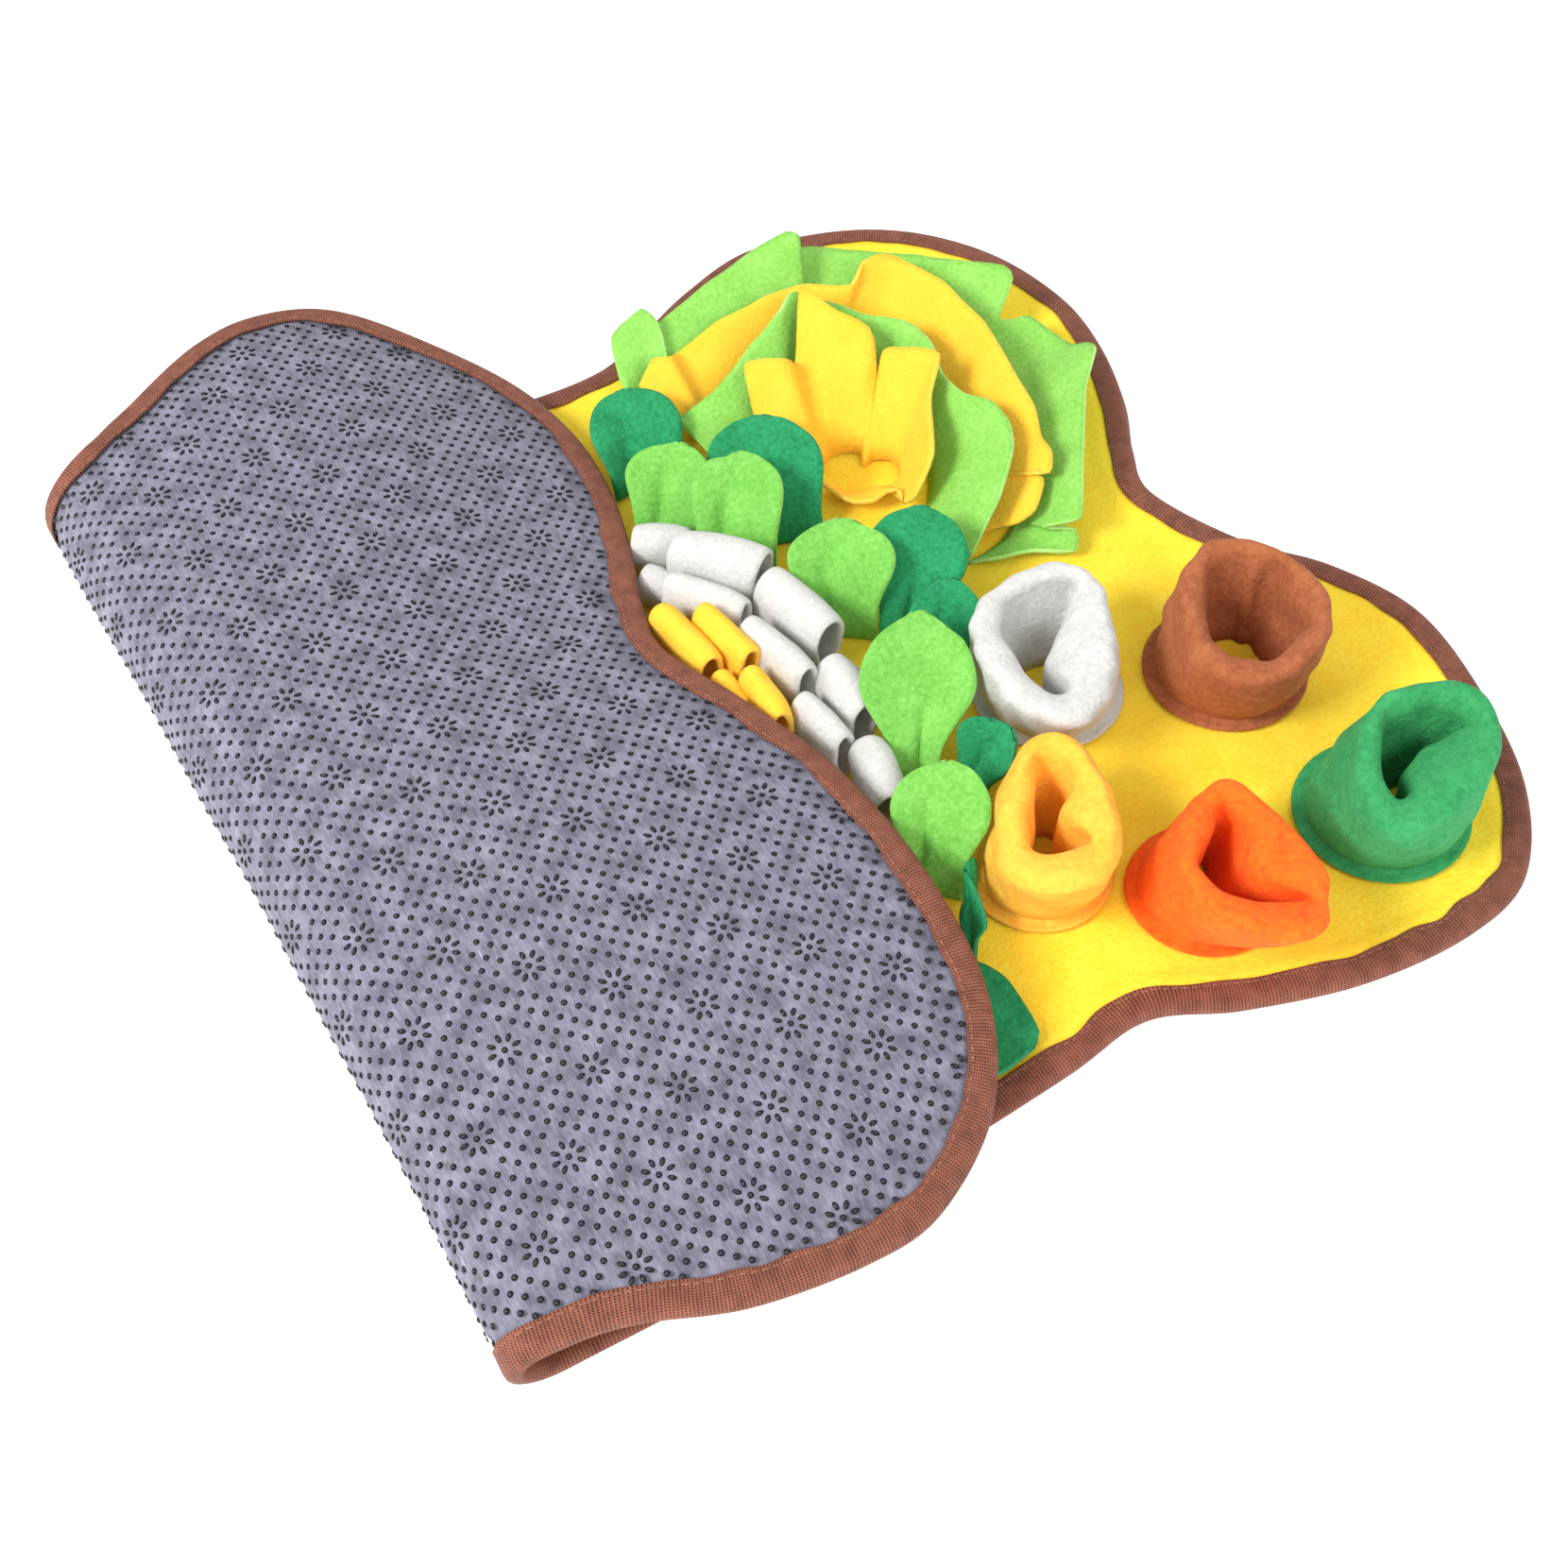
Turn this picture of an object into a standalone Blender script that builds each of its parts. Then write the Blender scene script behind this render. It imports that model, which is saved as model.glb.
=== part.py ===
"""Snuffle mat folded over like a book: a felt-backed fleece mat with four lobes and a taped edge.

The left third of the mat lies folded over the rest. On the fleece stand half of a large daisy
(two rings of petals round two rings of loops), a rosette of pleated strips and five short tubes.

Every size in the tables is in millimetres, and MM turns it into Blender's metres. Plan positions are
measured from the fold: x runs along the mat from the fold towards the free lobes, y across it.
Flat positions on the sheets use s in place of x: s is 0 where the lower layer leaves the floor, runs
with x along the lower layer and falls below 0 round the fold and along the flap.
"""
import math

import bmesh
import bpy
import numpy as np
from mathutils import Vector

MM = 0.001
PLAN_CENTRE = (182.8, 5.5)        # plan position that becomes the origin, the middle of the bounding box

FELT = 1.6                        # thickness of the felt backing
FLEECE = 1.8                      # thickness of the fleece panel
PLY_GAP = 0.4                     # gap between pieces that touch
TAPE = 0.9                        # thickness of the binding tape
TAPE_WIDTH = 10.0                 # tape seen on each face
TAPE_GAP = 0.55                   # gap between the tape and the sheets inside it
EDGE_DIP = TAPE + TAPE_GAP        # how far the sheets step inwards to make room for the tape
DIP_FROM, DIP_TO = 11.5, 18.0     # distances from the edge between which that step fades out
STACK = FELT + PLY_GAP + FLEECE   # outer face of the felt to inner face of the fleece
TOP = STACK + PLY_GAP             # height of the foot of what stands on the fleece
PATCH = 1.6                       # thickness of the petals, loops and strips

FOLD_X = 20.0                     # plan x where the lower layer ends and the flap begins, one above the other
FOLD_LENGTH = 100.0               # length of cloth that goes round the fold
FOLD_ROUND = 1.25                 # depth of the fold over half its height

# The fold's section at each y: its leftmost x and the height there, then the height of the felt's
# upper face where the flap is at x = 20, 60, 98, 136 and 172.
SECTION_X = (20.0, 60.0, 98.0, 136.0, 172.0)
SECTIONS = (
    # y,     left_x, left_z, heights at SECTION_X
    (-240.0, -28.0, 12.5, (25.0, 24.0, 22.0, 20.0, 17.0)),
    (-205.0, -27.0, 13.5, (28.0, 29.0, 28.0, 25.0, 21.0)),
    (-170.0, -25.0, 16.0, (32.0, 35.0, 35.0, 33.0, 31.0)),
    (-130.0, -23.0, 18.5, (37.0, 40.0, 40.0, 37.0, 36.0)),
    (-90.0, -22.0, 21.5, (44.0, 46.0, 43.0, 38.0, 35.0)),
    (-40.0, -21.0, 23.5, (47.0, 49.0, 45.0, 38.0, 33.0)),
    (0.0, -20.0, 24.5, (49.0, 48.0, 41.0, 34.0, 29.0)),
    (40.0, -20.0, 25.0, (50.0, 45.0, 36.0, 28.0, 23.0)),
    (90.0, -19.0, 25.0, (50.0, 45.0, 36.0, 26.0, 19.0)),
    (150.0, -19.0, 25.0, (50.0, 47.0, 41.0, 29.0, 18.0)),
    (200.0, -18.0, 24.5, (48.0, 49.0, 43.0, 31.0, 20.0)),
    (240.0, -17.0, 24.0, (46.0, 46.0, 42.0, 34.0, 24.0)),
)

# Outer edge of the binding, flat, as smooth-curve points (s, y), clockwise seen from above.
OUTLINE = (
    # free end: notch and near lobe
    (330, -14), (342, -52), (361, -81), (372, -115), (366, -152), (349, -194), (322, -223),
    (291, -230), (250, -225), (211, -211), (183, -197),
    # near waist, round the fold
    (150, -199), (90, -200), (20, -199), (-40, -195), (-71, -198),
    # flap: near lobe, notch and far lobe
    (-91, -203), (-122, -217), (-158, -224), (-186, -222), (-218, -203), (-238, -171), (-246, -123),
    (-246, -76), (-236, -33), (-226, 4), (-232, 30), (-245, 61), (-256, 95), (-261, 133),
    (-254, 169), (-232, 204), (-203, 233), (-172, 241), (-145, 235), (-105, 213), (-75, 201),
    # far waist, round the fold
    (-40, 196), (20, 190), (90, 181), (150, 172), (186, 170),
    # free end: far lobe
    (211, 179), (241, 192), (276, 200), (314, 190), (343, 169), (363, 136), (370, 97), (365, 64),
    (352, 31), (338, 8),
)
OUTLINE_STEP = 16.0               # spacing of the points read from that curve
FOLD_LINE_STEP = 6.0              # spacing of the sheet's cross lines round the fold
FLAP_LINE_STEP = 24.0             # spacing of the lines on the flap

# Petals: plan position of the root, plan position and height of the tip, width, how far the petal's face
# is turned from facing along its own length in degrees, width at the root as a share of the width, and
# how far the sides stand in front of the middle.
PETALS_DARK = (
    # root_x, root_y, tip_x, tip_y, tip_z, width, twist, neck, cup
    (190, 98, 200, 134, 26, 36, 0, 0.8, 4.0),
    (215, 46, 231, 84, 33, 44, 0, 0.85, 4.5),
    (230, -23, 256, 7, 34, 38, 0, 0.6, 4.0),
    (228, -45, 245, -23, 29, 26, 10, 0.7, 5.0),
    (207, -93, 224, -92, 30, 25, 0, 0.6, 5.0),
    (171, -145, 181, -128, 22, 22, 90, 0.4, 4.0),
    (132, -151, 166, -184, 9, 49, 0, 0.7, 4.0),
    (118, 106, 135, 140, 17, 40, 0, 0.6, 4.0),
    (72, 108, 72, 150, 22, 40, 0, 0.6, 4.0),
    (84, -128, 90, -166, 15, 38, 0, 0.6, 4.0),
    (38, -124, 26, -160, 14, 38, 0, 0.6, 4.0),
)
PETALS_LIGHT = (
    (181, 67, 197, 86, 36, 34, 0, 0.8, 4.0),
    (195, 40, 213, 65, 39, 34, 0, 0.85, 3.5),
    (210, -7, 227, 15, 38, 39, 0, 0.7, 4.5),
    (192, -82, 222, -40, 40, 40, 0, 0.4, 5.0),
    (173, -119, 195, -98, 38, 33, 0, 0.65, 4.0),
    (126, 80, 140, 104, 15, 32, 0, 0.6, 4.0),
    (84, 90, 88, 122, 22, 34, 0, 0.6, 4.0),
    (118, -108, 132, -134, 18, 34, 0, 0.6, 4.0),
    (62, -108, 60, -136, 18, 34, 0, 0.6, 4.0),
)
PETAL_ALONG, PETAL_ACROSS = 6, 4  # faces along and across a petal
HEAD_FROM, HEAD_LONG = 0.65, 0.36  # where the round head begins, and its length, as shares of the petal's

# Loops: plan position of the foot, the direction that the loop's side faces, the width of the strip,
# the loop's height, depth and lean that way, and how far its left end is bowed back.
LOOPS_WHITE = (
    # foot_x, foot_y, facing, width, height, depth, lean, bow
    (173, 59, 50, 20, 25, 12, 2, 0),
    (183, 33, 30, 32, 34, 16, 5, 7),
    (192, -4, 10, 32, 35, 14, 4, 1),
    (187, -43, -6, 24, 32, 12, 4, 1),
    (177, -77, -19, 25, 28, 12, 4, 2),
    (142, -92, -36, 26, 20, 12, 2, 0),
    (162, 44, 28, 12, 22, 9, 2, 0),
    (170, 21, 31, 30, 31, 10, 2, 2),
    (176, -17, 8, 30, 34, 10, 2, 1),
    (173, -51, 6, 23, 31, 9, 2, 1),
    (152, -62, -24, 24, 25, 12, 1, 0),
)
LOOPS_YELLOW = (
    (154, 7, 0, 30, 33, 10, 0, 1),
    (165, -1, 4, 27, 35, 8, 1, 0),
    (163, -32, -9, 23, 33, 9, 0, 0),
    (155, -21, 2, 16, 29, 8, 0, 0),
    (126, -4, 0, 26, 24, 11, 0, 0),
)
LOOP_SIDES = 12                   # faces round a loop
BOW_FLAT = 4                      # a loop bowed less than this is left straight from side to side

# Tubes: plan position and radius of the foot, and height of the rim.
TUBES = {
    # name: foot_x, foot_y, foot_r, rim_z, mouth_draw, mouth_back
    "tube_white": (257, -71, 23.0, 43.0, 0.36, -1.0),
    "tube_brown": (316, -98, 25.5, 45.0, 0.28, 0.0),
    "tube_green": (319, -177, 26.0, 47.0, 0.28, 0.0),
    "tube_yellow": (208, -132, 21.0, 45.0, 0.33, 0.0),
    "tube_orange": (249, -169, 22.5, 43.0, 0.40, 10.0),
}
# The rims, clockwise as smooth-curve points: plan position of the crest, and plan position and height of
# the edge inside it where the inner wall drops. One side of every rim has sunk inwards.
TUBE_RIMS = {
    # clockwise: crest_x, crest_y of the rim, and edge_x, edge_y, edge_z where the inner wall drops
    "tube_white": (
        (234, -60, 242, -61, 38), (242, -51, 249, -53, 38), (253, -47, 256, -51, 38),
        (265, -47, 265, -52, 38), (275, -50, 273, -54, 38), (279, -58, 276, -57, 36),
        (277, -70, 270, -63, 34), (270, -83, 262, -68, 32), (261, -95, 254, -73, 30),
        (250, -104, 249, -79, 28), (238, -107, 248, -90, 28), (232, -100, 242, -93, 32),
        (229, -87, 239, -86, 36), (230, -73, 239, -75, 38)),
    "tube_brown": (
        (298, -96, 305, -94, 40), (308, -82, 315, -83, 40), (321, -75, 321, -80, 38),
        (331, -78, 330, -83, 38), (337, -86, 332, -88, 32), (341, -98, 336, -91, 28),
        (341, -110, 334, -98, 24), (335, -120, 333, -111, 32), (327, -127, 329, -119, 38),
        (312, -131, 316, -124, 40), (299, -129, 306, -123, 40), (292, -121, 299, -116, 40),
        (291, -109, 298, -106, 40)),
    "tube_green": (
        (307, -174, 314, -173, 42), (316, -166, 321, -167, 42), (327, -163, 328, -168, 42),
        (337, -165, 336, -170, 42), (346, -169, 341, -173, 40), (350, -176, 345, -177, 38),
        (348, -185, 343, -182, 36), (340, -195, 342, -181, 36), (329, -201, 331, -180, 34),
        (317, -204, 321, -180, 32), (306, -204, 316, -183, 30), (297, -203, 312, -190, 32),
        (293, -196, 304, -192, 38), (298, -184, 304, -185, 42)),
    "tube_yellow": (
        (192, -136, 200, -135, 38), (202, -125, 209, -125, 38), (212, -115, 217, -115, 39),
        (223, -111, 221, -116, 39), (228, -116, 223, -119, 38), (228, -126, 223, -124, 37),
        (226, -137, 221, -129, 35), (221, -147, 214, -132, 32), (215, -155, 213, -138, 31),
        (207, -160, 215, -147, 32), (200, -159, 208, -149, 36), (192, -155, 199, -146, 38),
        (187, -147, 196, -141, 38)),
    "tube_orange": (
        (240, -166, 245, -170, 38), (250, -160, 254, -163, 38), (260, -157, 258, -162, 38),
        (264, -161, 259, -165, 36), (265, -171, 258, -167, 34), (265, -182, 255, -173, 32),
        (265, -193, 251, -180, 30), (262, -202, 249, -187, 30), (257, -209, 253, -195, 30),
        (251, -213, 258, -203, 32), (243, -212, 252, -200, 32), (236, -205, 244, -195, 34),
        (231, -195, 237, -188, 36), (230, -183, 236, -180, 37), (233, -174, 237, -174, 38)),
}
TUBE_COLOURS = {
    "tube_white": (0.86, 0.85, 0.83),
    "tube_brown": (0.32, 0.13, 0.06),
    "tube_green": (0.01, 0.31, 0.10),
    "tube_yellow": (1.0, 0.62, 0.02),
    "tube_orange": (1.0, 0.19, 0.01),
}
TUBE_SIDES = 20
TUBE_WALL = 2.0                   # thickness of one layer of tube fleece
RIM_ROUND = 3.6                   # radius of the rim's outer shoulder
FOOT_FLARE = 4.2                  # seam allowance that flares out at the foot
TUBE_BULGE = 1.4                  # how far the outer wall bulges at half its height

# Rosette strips: a row for each pleat, with the plan position of the foot and of the top edge, and the
# height of the top edge.
ROSETTE_LIME_OUTER = (
    # foot_x, foot_y, top_x, top_y, top_z
    (224, 126, 228, 160, 24), (243, 132, 255, 166, 28), (262, 137, 284, 168, 34), (276, 139, 297, 165, 38),
    (289, 138, 300, 161, 37), (286, 143, 294, 172, 24), (296, 139, 307, 167, 24), (304, 133, 324, 156, 22),
    (310, 127, 334, 149, 20), (316, 118, 341, 137, 24), (322, 108, 351, 116, 30), (328, 99, 362, 102, 32),
    (331, 94, 362, 96, 30), (328, 88, 350, 88, 20), (332, 80, 362, 84, 18), (330, 68, 366, 62, 17),
    (326, 50, 364, 44, 30), (320, 40, 349, 30, 27), (313, 30, 334, 11, 25), (307, 20, 321, -5, 26),
    (301, 10, 308, -21, 22), (297, 5, 298, -12, 15), (293, 1, 309, -18, 13), (287, -2, 304, -25, 10),
    (278, -4, 290, -15, 9), (270, -4, 276, -9, 8),
)
ROSETTE_YELLOW_OUTER = (
    (213, 112, 209, 138, 20), (222, 114, 219, 143, 26), (226, 116, 223, 138, 28), (230, 120, 231, 144, 22),
    (242, 123, 250, 144, 28), (258, 125, 267, 142, 32), (273, 124, 287, 138, 34), (287, 118, 303, 126, 34),
    (291, 116, 312, 131, 38), (297, 111, 320, 132, 38), (301, 106, 327, 128, 36), (308, 96, 333, 103, 36),
    (311, 86, 334, 78, 34), (309, 72, 329, 53, 32), (304, 56, 324, 30, 30), (298, 44, 318, 17, 28),
    (294, 38, 315, 7, 30), (290, 32, 309, 0, 28), (286, 30, 301, 13, 22), (283, 24, 308, 2, 24),
    (278, 18, 298, -7, 20), (272, 14, 291, -6, 16), (266, 13, 282, 1, 12),
)
ROSETTE_LIME_INNER = (
    (220, 84, 212, 114, 18), (232, 92, 232, 115, 24), (246, 98, 251, 119, 34), (257, 103, 266, 121, 42),
    (264, 106, 276, 127, 43), (272, 103, 289, 120, 36), (280, 98, 298, 105, 36), (286, 90, 308, 93, 36),
    (290, 81, 310, 79, 34), (291, 72, 306, 66, 30), (291, 62, 305, 50, 32), (289, 52, 310, 38, 34),
    (285, 44, 309, 26, 34), (280, 36, 303, 15, 34), (275, 30, 295, 7, 32), (269, 24, 286, 0, 28),
    (262, 20, 275, -6, 22), (256, 18, 267, -9, 14),
)
ROSETTE_YELLOW_INNER = (
    (244, 64, 237, 95, 22), (247, 68, 242, 109, 36), (251, 70, 255, 100, 38), (254, 72, 262, 104, 30),
    (258, 74, 278, 124, 46), (263, 73, 283, 109, 44), (268, 70, 290, 93, 42), (269, 67, 289, 88, 34),
    (266, 62, 283, 77, 20), (270, 63, 292, 86, 34), (274, 61, 299, 80, 36), (277, 58, 305, 67, 40),
    (277, 53, 292, 54, 34), (274, 48, 278, 32, 29), (270, 46, 266, 26, 18), (267, 47, 263, 29, 14),
    (264, 48, 264, 34, 16), (261, 49, 260, 37, 15), (257, 50, 254, 37, 13), (254, 52, 248, 42, 12),
    (251, 55, 245, 49, 12), (249, 59, 242, 60, 14),
)
ROSETTE_LIME_END = (
    (205, 128, 206, 148, 16), (207, 134, 211, 163, 26), (215, 140, 227, 165, 32), (220, 135, 230, 157, 29),
    (220, 131, 227, 147, 22),
)
STRIP_RISE = 3                    # faces up a strip

FELT_COLOUR = (0.27, 0.26, 0.37)
FLEECE_COLOUR = (1.0, 0.44, 0.01)
TAPE_COLOUR = (0.19, 0.06, 0.035)
DARK_GREEN = (0.005, 0.24, 0.10)
LIGHT_GREEN = (0.23, 0.72, 0.08)
WHITE = (0.88, 0.87, 0.84)
YELLOW = (1.0, 0.66, 0.03)


# ---------------------------------------------------------------- curves and the fold

def catmull(points, step, closed):
    """Points about step apart on a smooth curve through the given ones."""
    pts = [np.array(p, float) for p in points]
    count = len(pts)
    spans = count if closed else count - 1
    out = []
    for i in range(spans):
        if closed:
            a, b, c, d = (pts[(i + k - 1) % count] for k in range(4))
        else:
            a, b, c, d = (pts[min(max(i + k - 1, 0), count - 1)] for k in range(4))
        cuts = max(1, round(float(np.linalg.norm(c - b)) / step))
        for k in range(cuts):
            t = k / cuts
            out.append(0.5 * (2 * b + (c - a) * t + (2 * a - 5 * b + 4 * c - d) * t * t
                              + (3 * b - a - 3 * c + d) * t ** 3))
    if not closed:
        out.append(pts[-1])
    return out


def smooth_lookup(value, keys, rows):
    """Row at value, with smooth (Hermite) change between the rows at keys."""
    value = min(max(value, keys[0]), keys[-1])
    i = min(max(int(np.searchsorted(keys, value)) - 1, 0), len(keys) - 2)
    span = keys[i + 1] - keys[i]
    t = (value - keys[i]) / span

    def slope(k):
        low, high = max(k - 1, 0), min(k + 1, len(keys) - 1)
        return (rows[high] - rows[low]) / (keys[high] - keys[low])

    return ((2 * t ** 3 - 3 * t * t + 1) * rows[i] + (t ** 3 - 2 * t * t + t) * span * slope(i)
            + (3 * t * t - 2 * t ** 3) * rows[i + 1] + (t ** 3 - t * t) * span * slope(i + 1))


SECTION_KEYS = np.array([row[0] for row in SECTIONS])
SECTION_ROWS = np.array([(row[1], row[2]) + row[3] for row in SECTIONS])
HEIGHT_KEYS = np.array(SECTION_X)
path_cache = {}


def section_path(y):
    """The felt's outer face at one y: lengths along it from the fold's start, and its (x, z) points."""
    key = round(y, 3)
    if key in path_cache:
        return path_cache[key]
    row = smooth_lookup(y, SECTION_KEYS, SECTION_ROWS)
    left_x, left_z, heights = row[0], row[1], row[2:]
    crest = heights[0]
    depth = FOLD_ROUND * left_z
    middle = left_x + depth
    fold = [(FOLD_X, 0.0)]
    for angle in np.linspace(270.0, 90.0, 41):
        a = math.radians(angle)
        half = left_z if angle > 180.0 else crest - 1.0 - left_z
        fold.append((middle + depth * math.cos(a), left_z + half * math.sin(a)))
    fold.append((0.5 * (middle + FOLD_X), crest - 0.4))
    fold.append((FOLD_X, crest))
    flap = [(x, float(smooth_lookup(x, HEIGHT_KEYS, heights))) for x in np.linspace(FOLD_X + 4, 172.0, 38)]
    end, before = flap[-1], flap[-2]
    reach = 60.0 / (end[0] - before[0])
    flap.append((end[0] + 60.0, end[1] + reach * (end[1] - before[1])))

    def lengths(points):
        steps = np.linalg.norm(np.diff(np.array(points), axis=0), axis=1)
        return np.concatenate([[0.0], np.cumsum(steps)])

    round_fold = lengths(fold)
    round_fold *= FOLD_LENGTH / round_fold[-1]
    along_flap = lengths([fold[-1]] + flap)[1:] + FOLD_LENGTH
    path = (np.concatenate([round_fold, along_flap]), np.array(fold + flap))
    path_cache[key] = path
    return path


def fold(s, y, offset):
    """Plan-and-height position of flat point (s, y), offset inwards from the felt's outer face."""
    if s >= 0.0:
        return np.array([FOLD_X + s, y, offset])
    along, points = section_path(y)

    def at(length):
        return np.array([np.interp(length, along, points[:, 0]), np.interp(length, along, points[:, 1])])

    here = at(-s)
    ahead = at(-s + 2.0) - at(max(-s - 2.0, 0.0))
    ahead /= np.linalg.norm(ahead)
    x, z = here + offset * np.array([ahead[1], -ahead[0]])
    return np.array([x, y, z])


def fold_line_positions():
    """The s of each cross line round the fold and along the flap."""
    lines = list(np.arange(-FOLD_LENGTH - 5.0, 5.1, FOLD_LINE_STEP))
    lines += list(np.arange(-FOLD_LENGTH - FLAP_LINE_STEP, min(p[0] for p in OUTLINE), -FLAP_LINE_STEP))
    return lines


def outline_points():
    """The binding's outer edge, flat, with a point wherever it crosses a line round the fold."""
    pts = catmull(OUTLINE, OUTLINE_STEP, closed=True)
    lines = [s for s in fold_line_positions() if s >= -FOLD_LENGTH - 5.0]
    out = []
    for here, there in zip(pts, pts[1:] + pts[:1]):
        out.append(here)
        crossed = [(s - here[0]) / (there[0] - here[0]) for s in lines if (s - here[0]) * (s - there[0]) < 0]
        out += [here + t * (there - here) for t in sorted(crossed) if 0.15 < t < 0.85]
    return np.array(out)


def inset(points, distance):
    """The closed outline moved inwards by distance."""
    ahead = np.roll(points, -1, axis=0) - np.roll(points, 1, axis=0)
    ahead /= np.linalg.norm(ahead, axis=1)[:, None]
    inwards = np.column_stack([ahead[:, 1], -ahead[:, 0]])
    return points + distance * inwards


def edge_distance(point, outline):
    """Distance from a flat point to the outline."""
    start = outline
    span = np.roll(outline, -1, axis=0) - start
    t = np.clip(((point - start) * span).sum(1) / (span ** 2).sum(1), 0.0, 1.0)
    return float(np.min(np.linalg.norm(start + t[:, None] * span - point, axis=1)))


def dip(point, outline):
    """How far the sheets step inwards at a flat point to make room for the tape."""
    t = (DIP_TO - edge_distance(point, outline)) / (DIP_TO - DIP_FROM)
    t = min(max(t, 0.0), 1.0)
    return EDGE_DIP * t * t * (3 - 2 * t)


# ---------------------------------------------------------------- objects

def clear_scene():
    for obj in list(bpy.data.objects):
        bpy.data.objects.remove(obj, do_unlink=True)


def new_collection(name):
    collection = bpy.data.collections.new(name)
    bpy.context.scene.collection.children.link(collection)
    return collection


def cloth(name, colour, roughness):
    material = bpy.data.materials.new(name)
    material.use_nodes = True
    shader = material.node_tree.nodes["Principled BSDF"]
    shader.inputs["Base Color"].default_value = (*colour, 1.0)
    shader.inputs["Roughness"].default_value = roughness
    shader.inputs["Metallic"].default_value = 0.0
    return material


def world(point):
    """Plan position in millimetres to Blender's metres, with the origin under the middle of the box."""
    return Vector(((point[0] - PLAN_CENTRE[0]) * MM, (point[1] - PLAN_CENTRE[1]) * MM, point[2] * MM))


def add_object(name, mesh, material, collection):
    mesh.materials.append(material)
    mesh.shade_smooth()
    mesh.set_sharp_from_angle(angle=math.radians(40))
    obj = bpy.data.objects.new(name, mesh)
    collection.objects.link(obj)
    return obj


def mesh_from(name, verts, faces):
    mesh = bpy.data.meshes.new(name)
    mesh.from_pydata([world(v) for v in verts], [], faces)
    bm = bmesh.new()
    bm.from_mesh(mesh)
    bmesh.ops.triangulate(bm, faces=bm.faces, quad_method="BEAUTY")
    bmesh.ops.recalc_face_normals(bm, faces=bm.faces)
    bm.to_mesh(mesh)
    bm.free()
    return mesh


# ---------------------------------------------------------------- mat

def flat_sheet(outline):
    """The sheet's cut shape as a flat mesh, with cross lines round the fold and on the flap."""
    bm = bmesh.new()
    count = len(outline)
    rims = [[bm.verts.new((p[0], p[1], 0.0)) for p in inset(outline, d)] for d in (EDGE_DIP, DIP_FROM)]
    for i in range(count):
        k = (i + 1) % count
        bm.faces.new((rims[0][i], rims[0][k], rims[1][k], rims[1][i]))
    middle = [bm.verts.new((p[0], p[1], 0.0)) for p in inset(outline, DIP_TO)[:count - count % 2:2]]
    for i in range(len(middle)):
        k = (i + 1) % len(middle)
        last = count if k == 0 else 2 * k
        around = [rims[1][j % count] for j in range(2 * i, last + 1)]
        bm.faces.new(around + [middle[k], middle[i]])
    bm.faces.new(middle)
    for s in fold_line_positions():
        bmesh.ops.bisect_plane(bm, geom=bm.verts[:] + bm.edges[:] + bm.faces[:], dist=0.05,
                               plane_co=(s, 0, 0), plane_no=(1, 0, 0))
    for y in np.arange(-180.0, 181.0, 60.0):
        folded = [f for f in bm.faces if f.calc_center_bounds().x < 6.0]
        edges = {e for f in folded for e in f.edges}
        verts = {v for f in folded for v in f.verts}
        bmesh.ops.bisect_plane(bm, geom=list(verts) + list(edges) + folded, dist=0.05,
                               plane_co=(0, y, 0), plane_no=(0, 1, 0))
    bmesh.ops.triangulate(bm, faces=bm.faces, quad_method="BEAUTY", ngon_method="BEAUTY")
    return bm


def make_sheet(name, outline, low, high, material, collection):
    """A folded sheet between two offsets from the felt's outer face."""
    bm = flat_sheet(outline)
    flat = [np.array((v.co.x, v.co.y)) for v in bm.verts]
    bm.verts.index_update()
    faces = [[v.index for v in f.verts] for f in bm.faces]
    rim = [[v.index for v in e.verts] for e in bm.edges if e.is_boundary]
    bm.free()
    steps = [dip(p, outline) for p in flat]
    count = len(flat)
    verts = [fold(p[0], p[1], low + d) for p, d in zip(flat, steps)]
    verts += [fold(p[0], p[1], high + d) for p, d in zip(flat, steps)]
    solid = [list(reversed(f)) for f in faces]
    solid += [[i + count for i in f] for f in faces]
    solid += [[a, b, b + count, a + count] for a, b in rim]
    return add_object(name, mesh_from(name, verts, solid), material, collection)


def make_binding(outline, material, collection):
    """The tape: a U-shaped section swept round the edge of the folded mat."""
    inner_face = EDGE_DIP + STACK + TAPE_GAP
    section = ((TAPE_WIDTH, 0.0), (0.0, 0.0), (0.0, inner_face + TAPE), (TAPE_WIDTH, inner_face + TAPE),
               (TAPE_WIDTH, inner_face), (TAPE, inner_face), (TAPE, TAPE), (TAPE_WIDTH, TAPE))
    rings = [inset(outline, distance) for distance, _ in section]
    verts = []
    for i in range(len(outline)):
        verts += [fold(rings[k][i][0], rings[k][i][1], offset) for k, (_, offset) in enumerate(section)]
    faces = bridge_rings(len(outline), len(section), closed=True)
    return add_object("binding", mesh_from("binding", verts, faces), material, collection)


def bridge_rings(rings, sides, closed):
    """Quads between neighbouring rings of vertices that are numbered ring by ring."""
    faces = []
    for i in range(rings if closed else rings - 1):
        for k in range(sides):
            a, b = i * sides + k, i * sides + (k + 1) % sides
            c, d = ((i + 1) % rings) * sides + (k + 1) % sides, ((i + 1) % rings) * sides + k
            faces.append((a, b, c, d))
    return faces


# ---------------------------------------------------------------- pieces on the fleece

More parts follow.
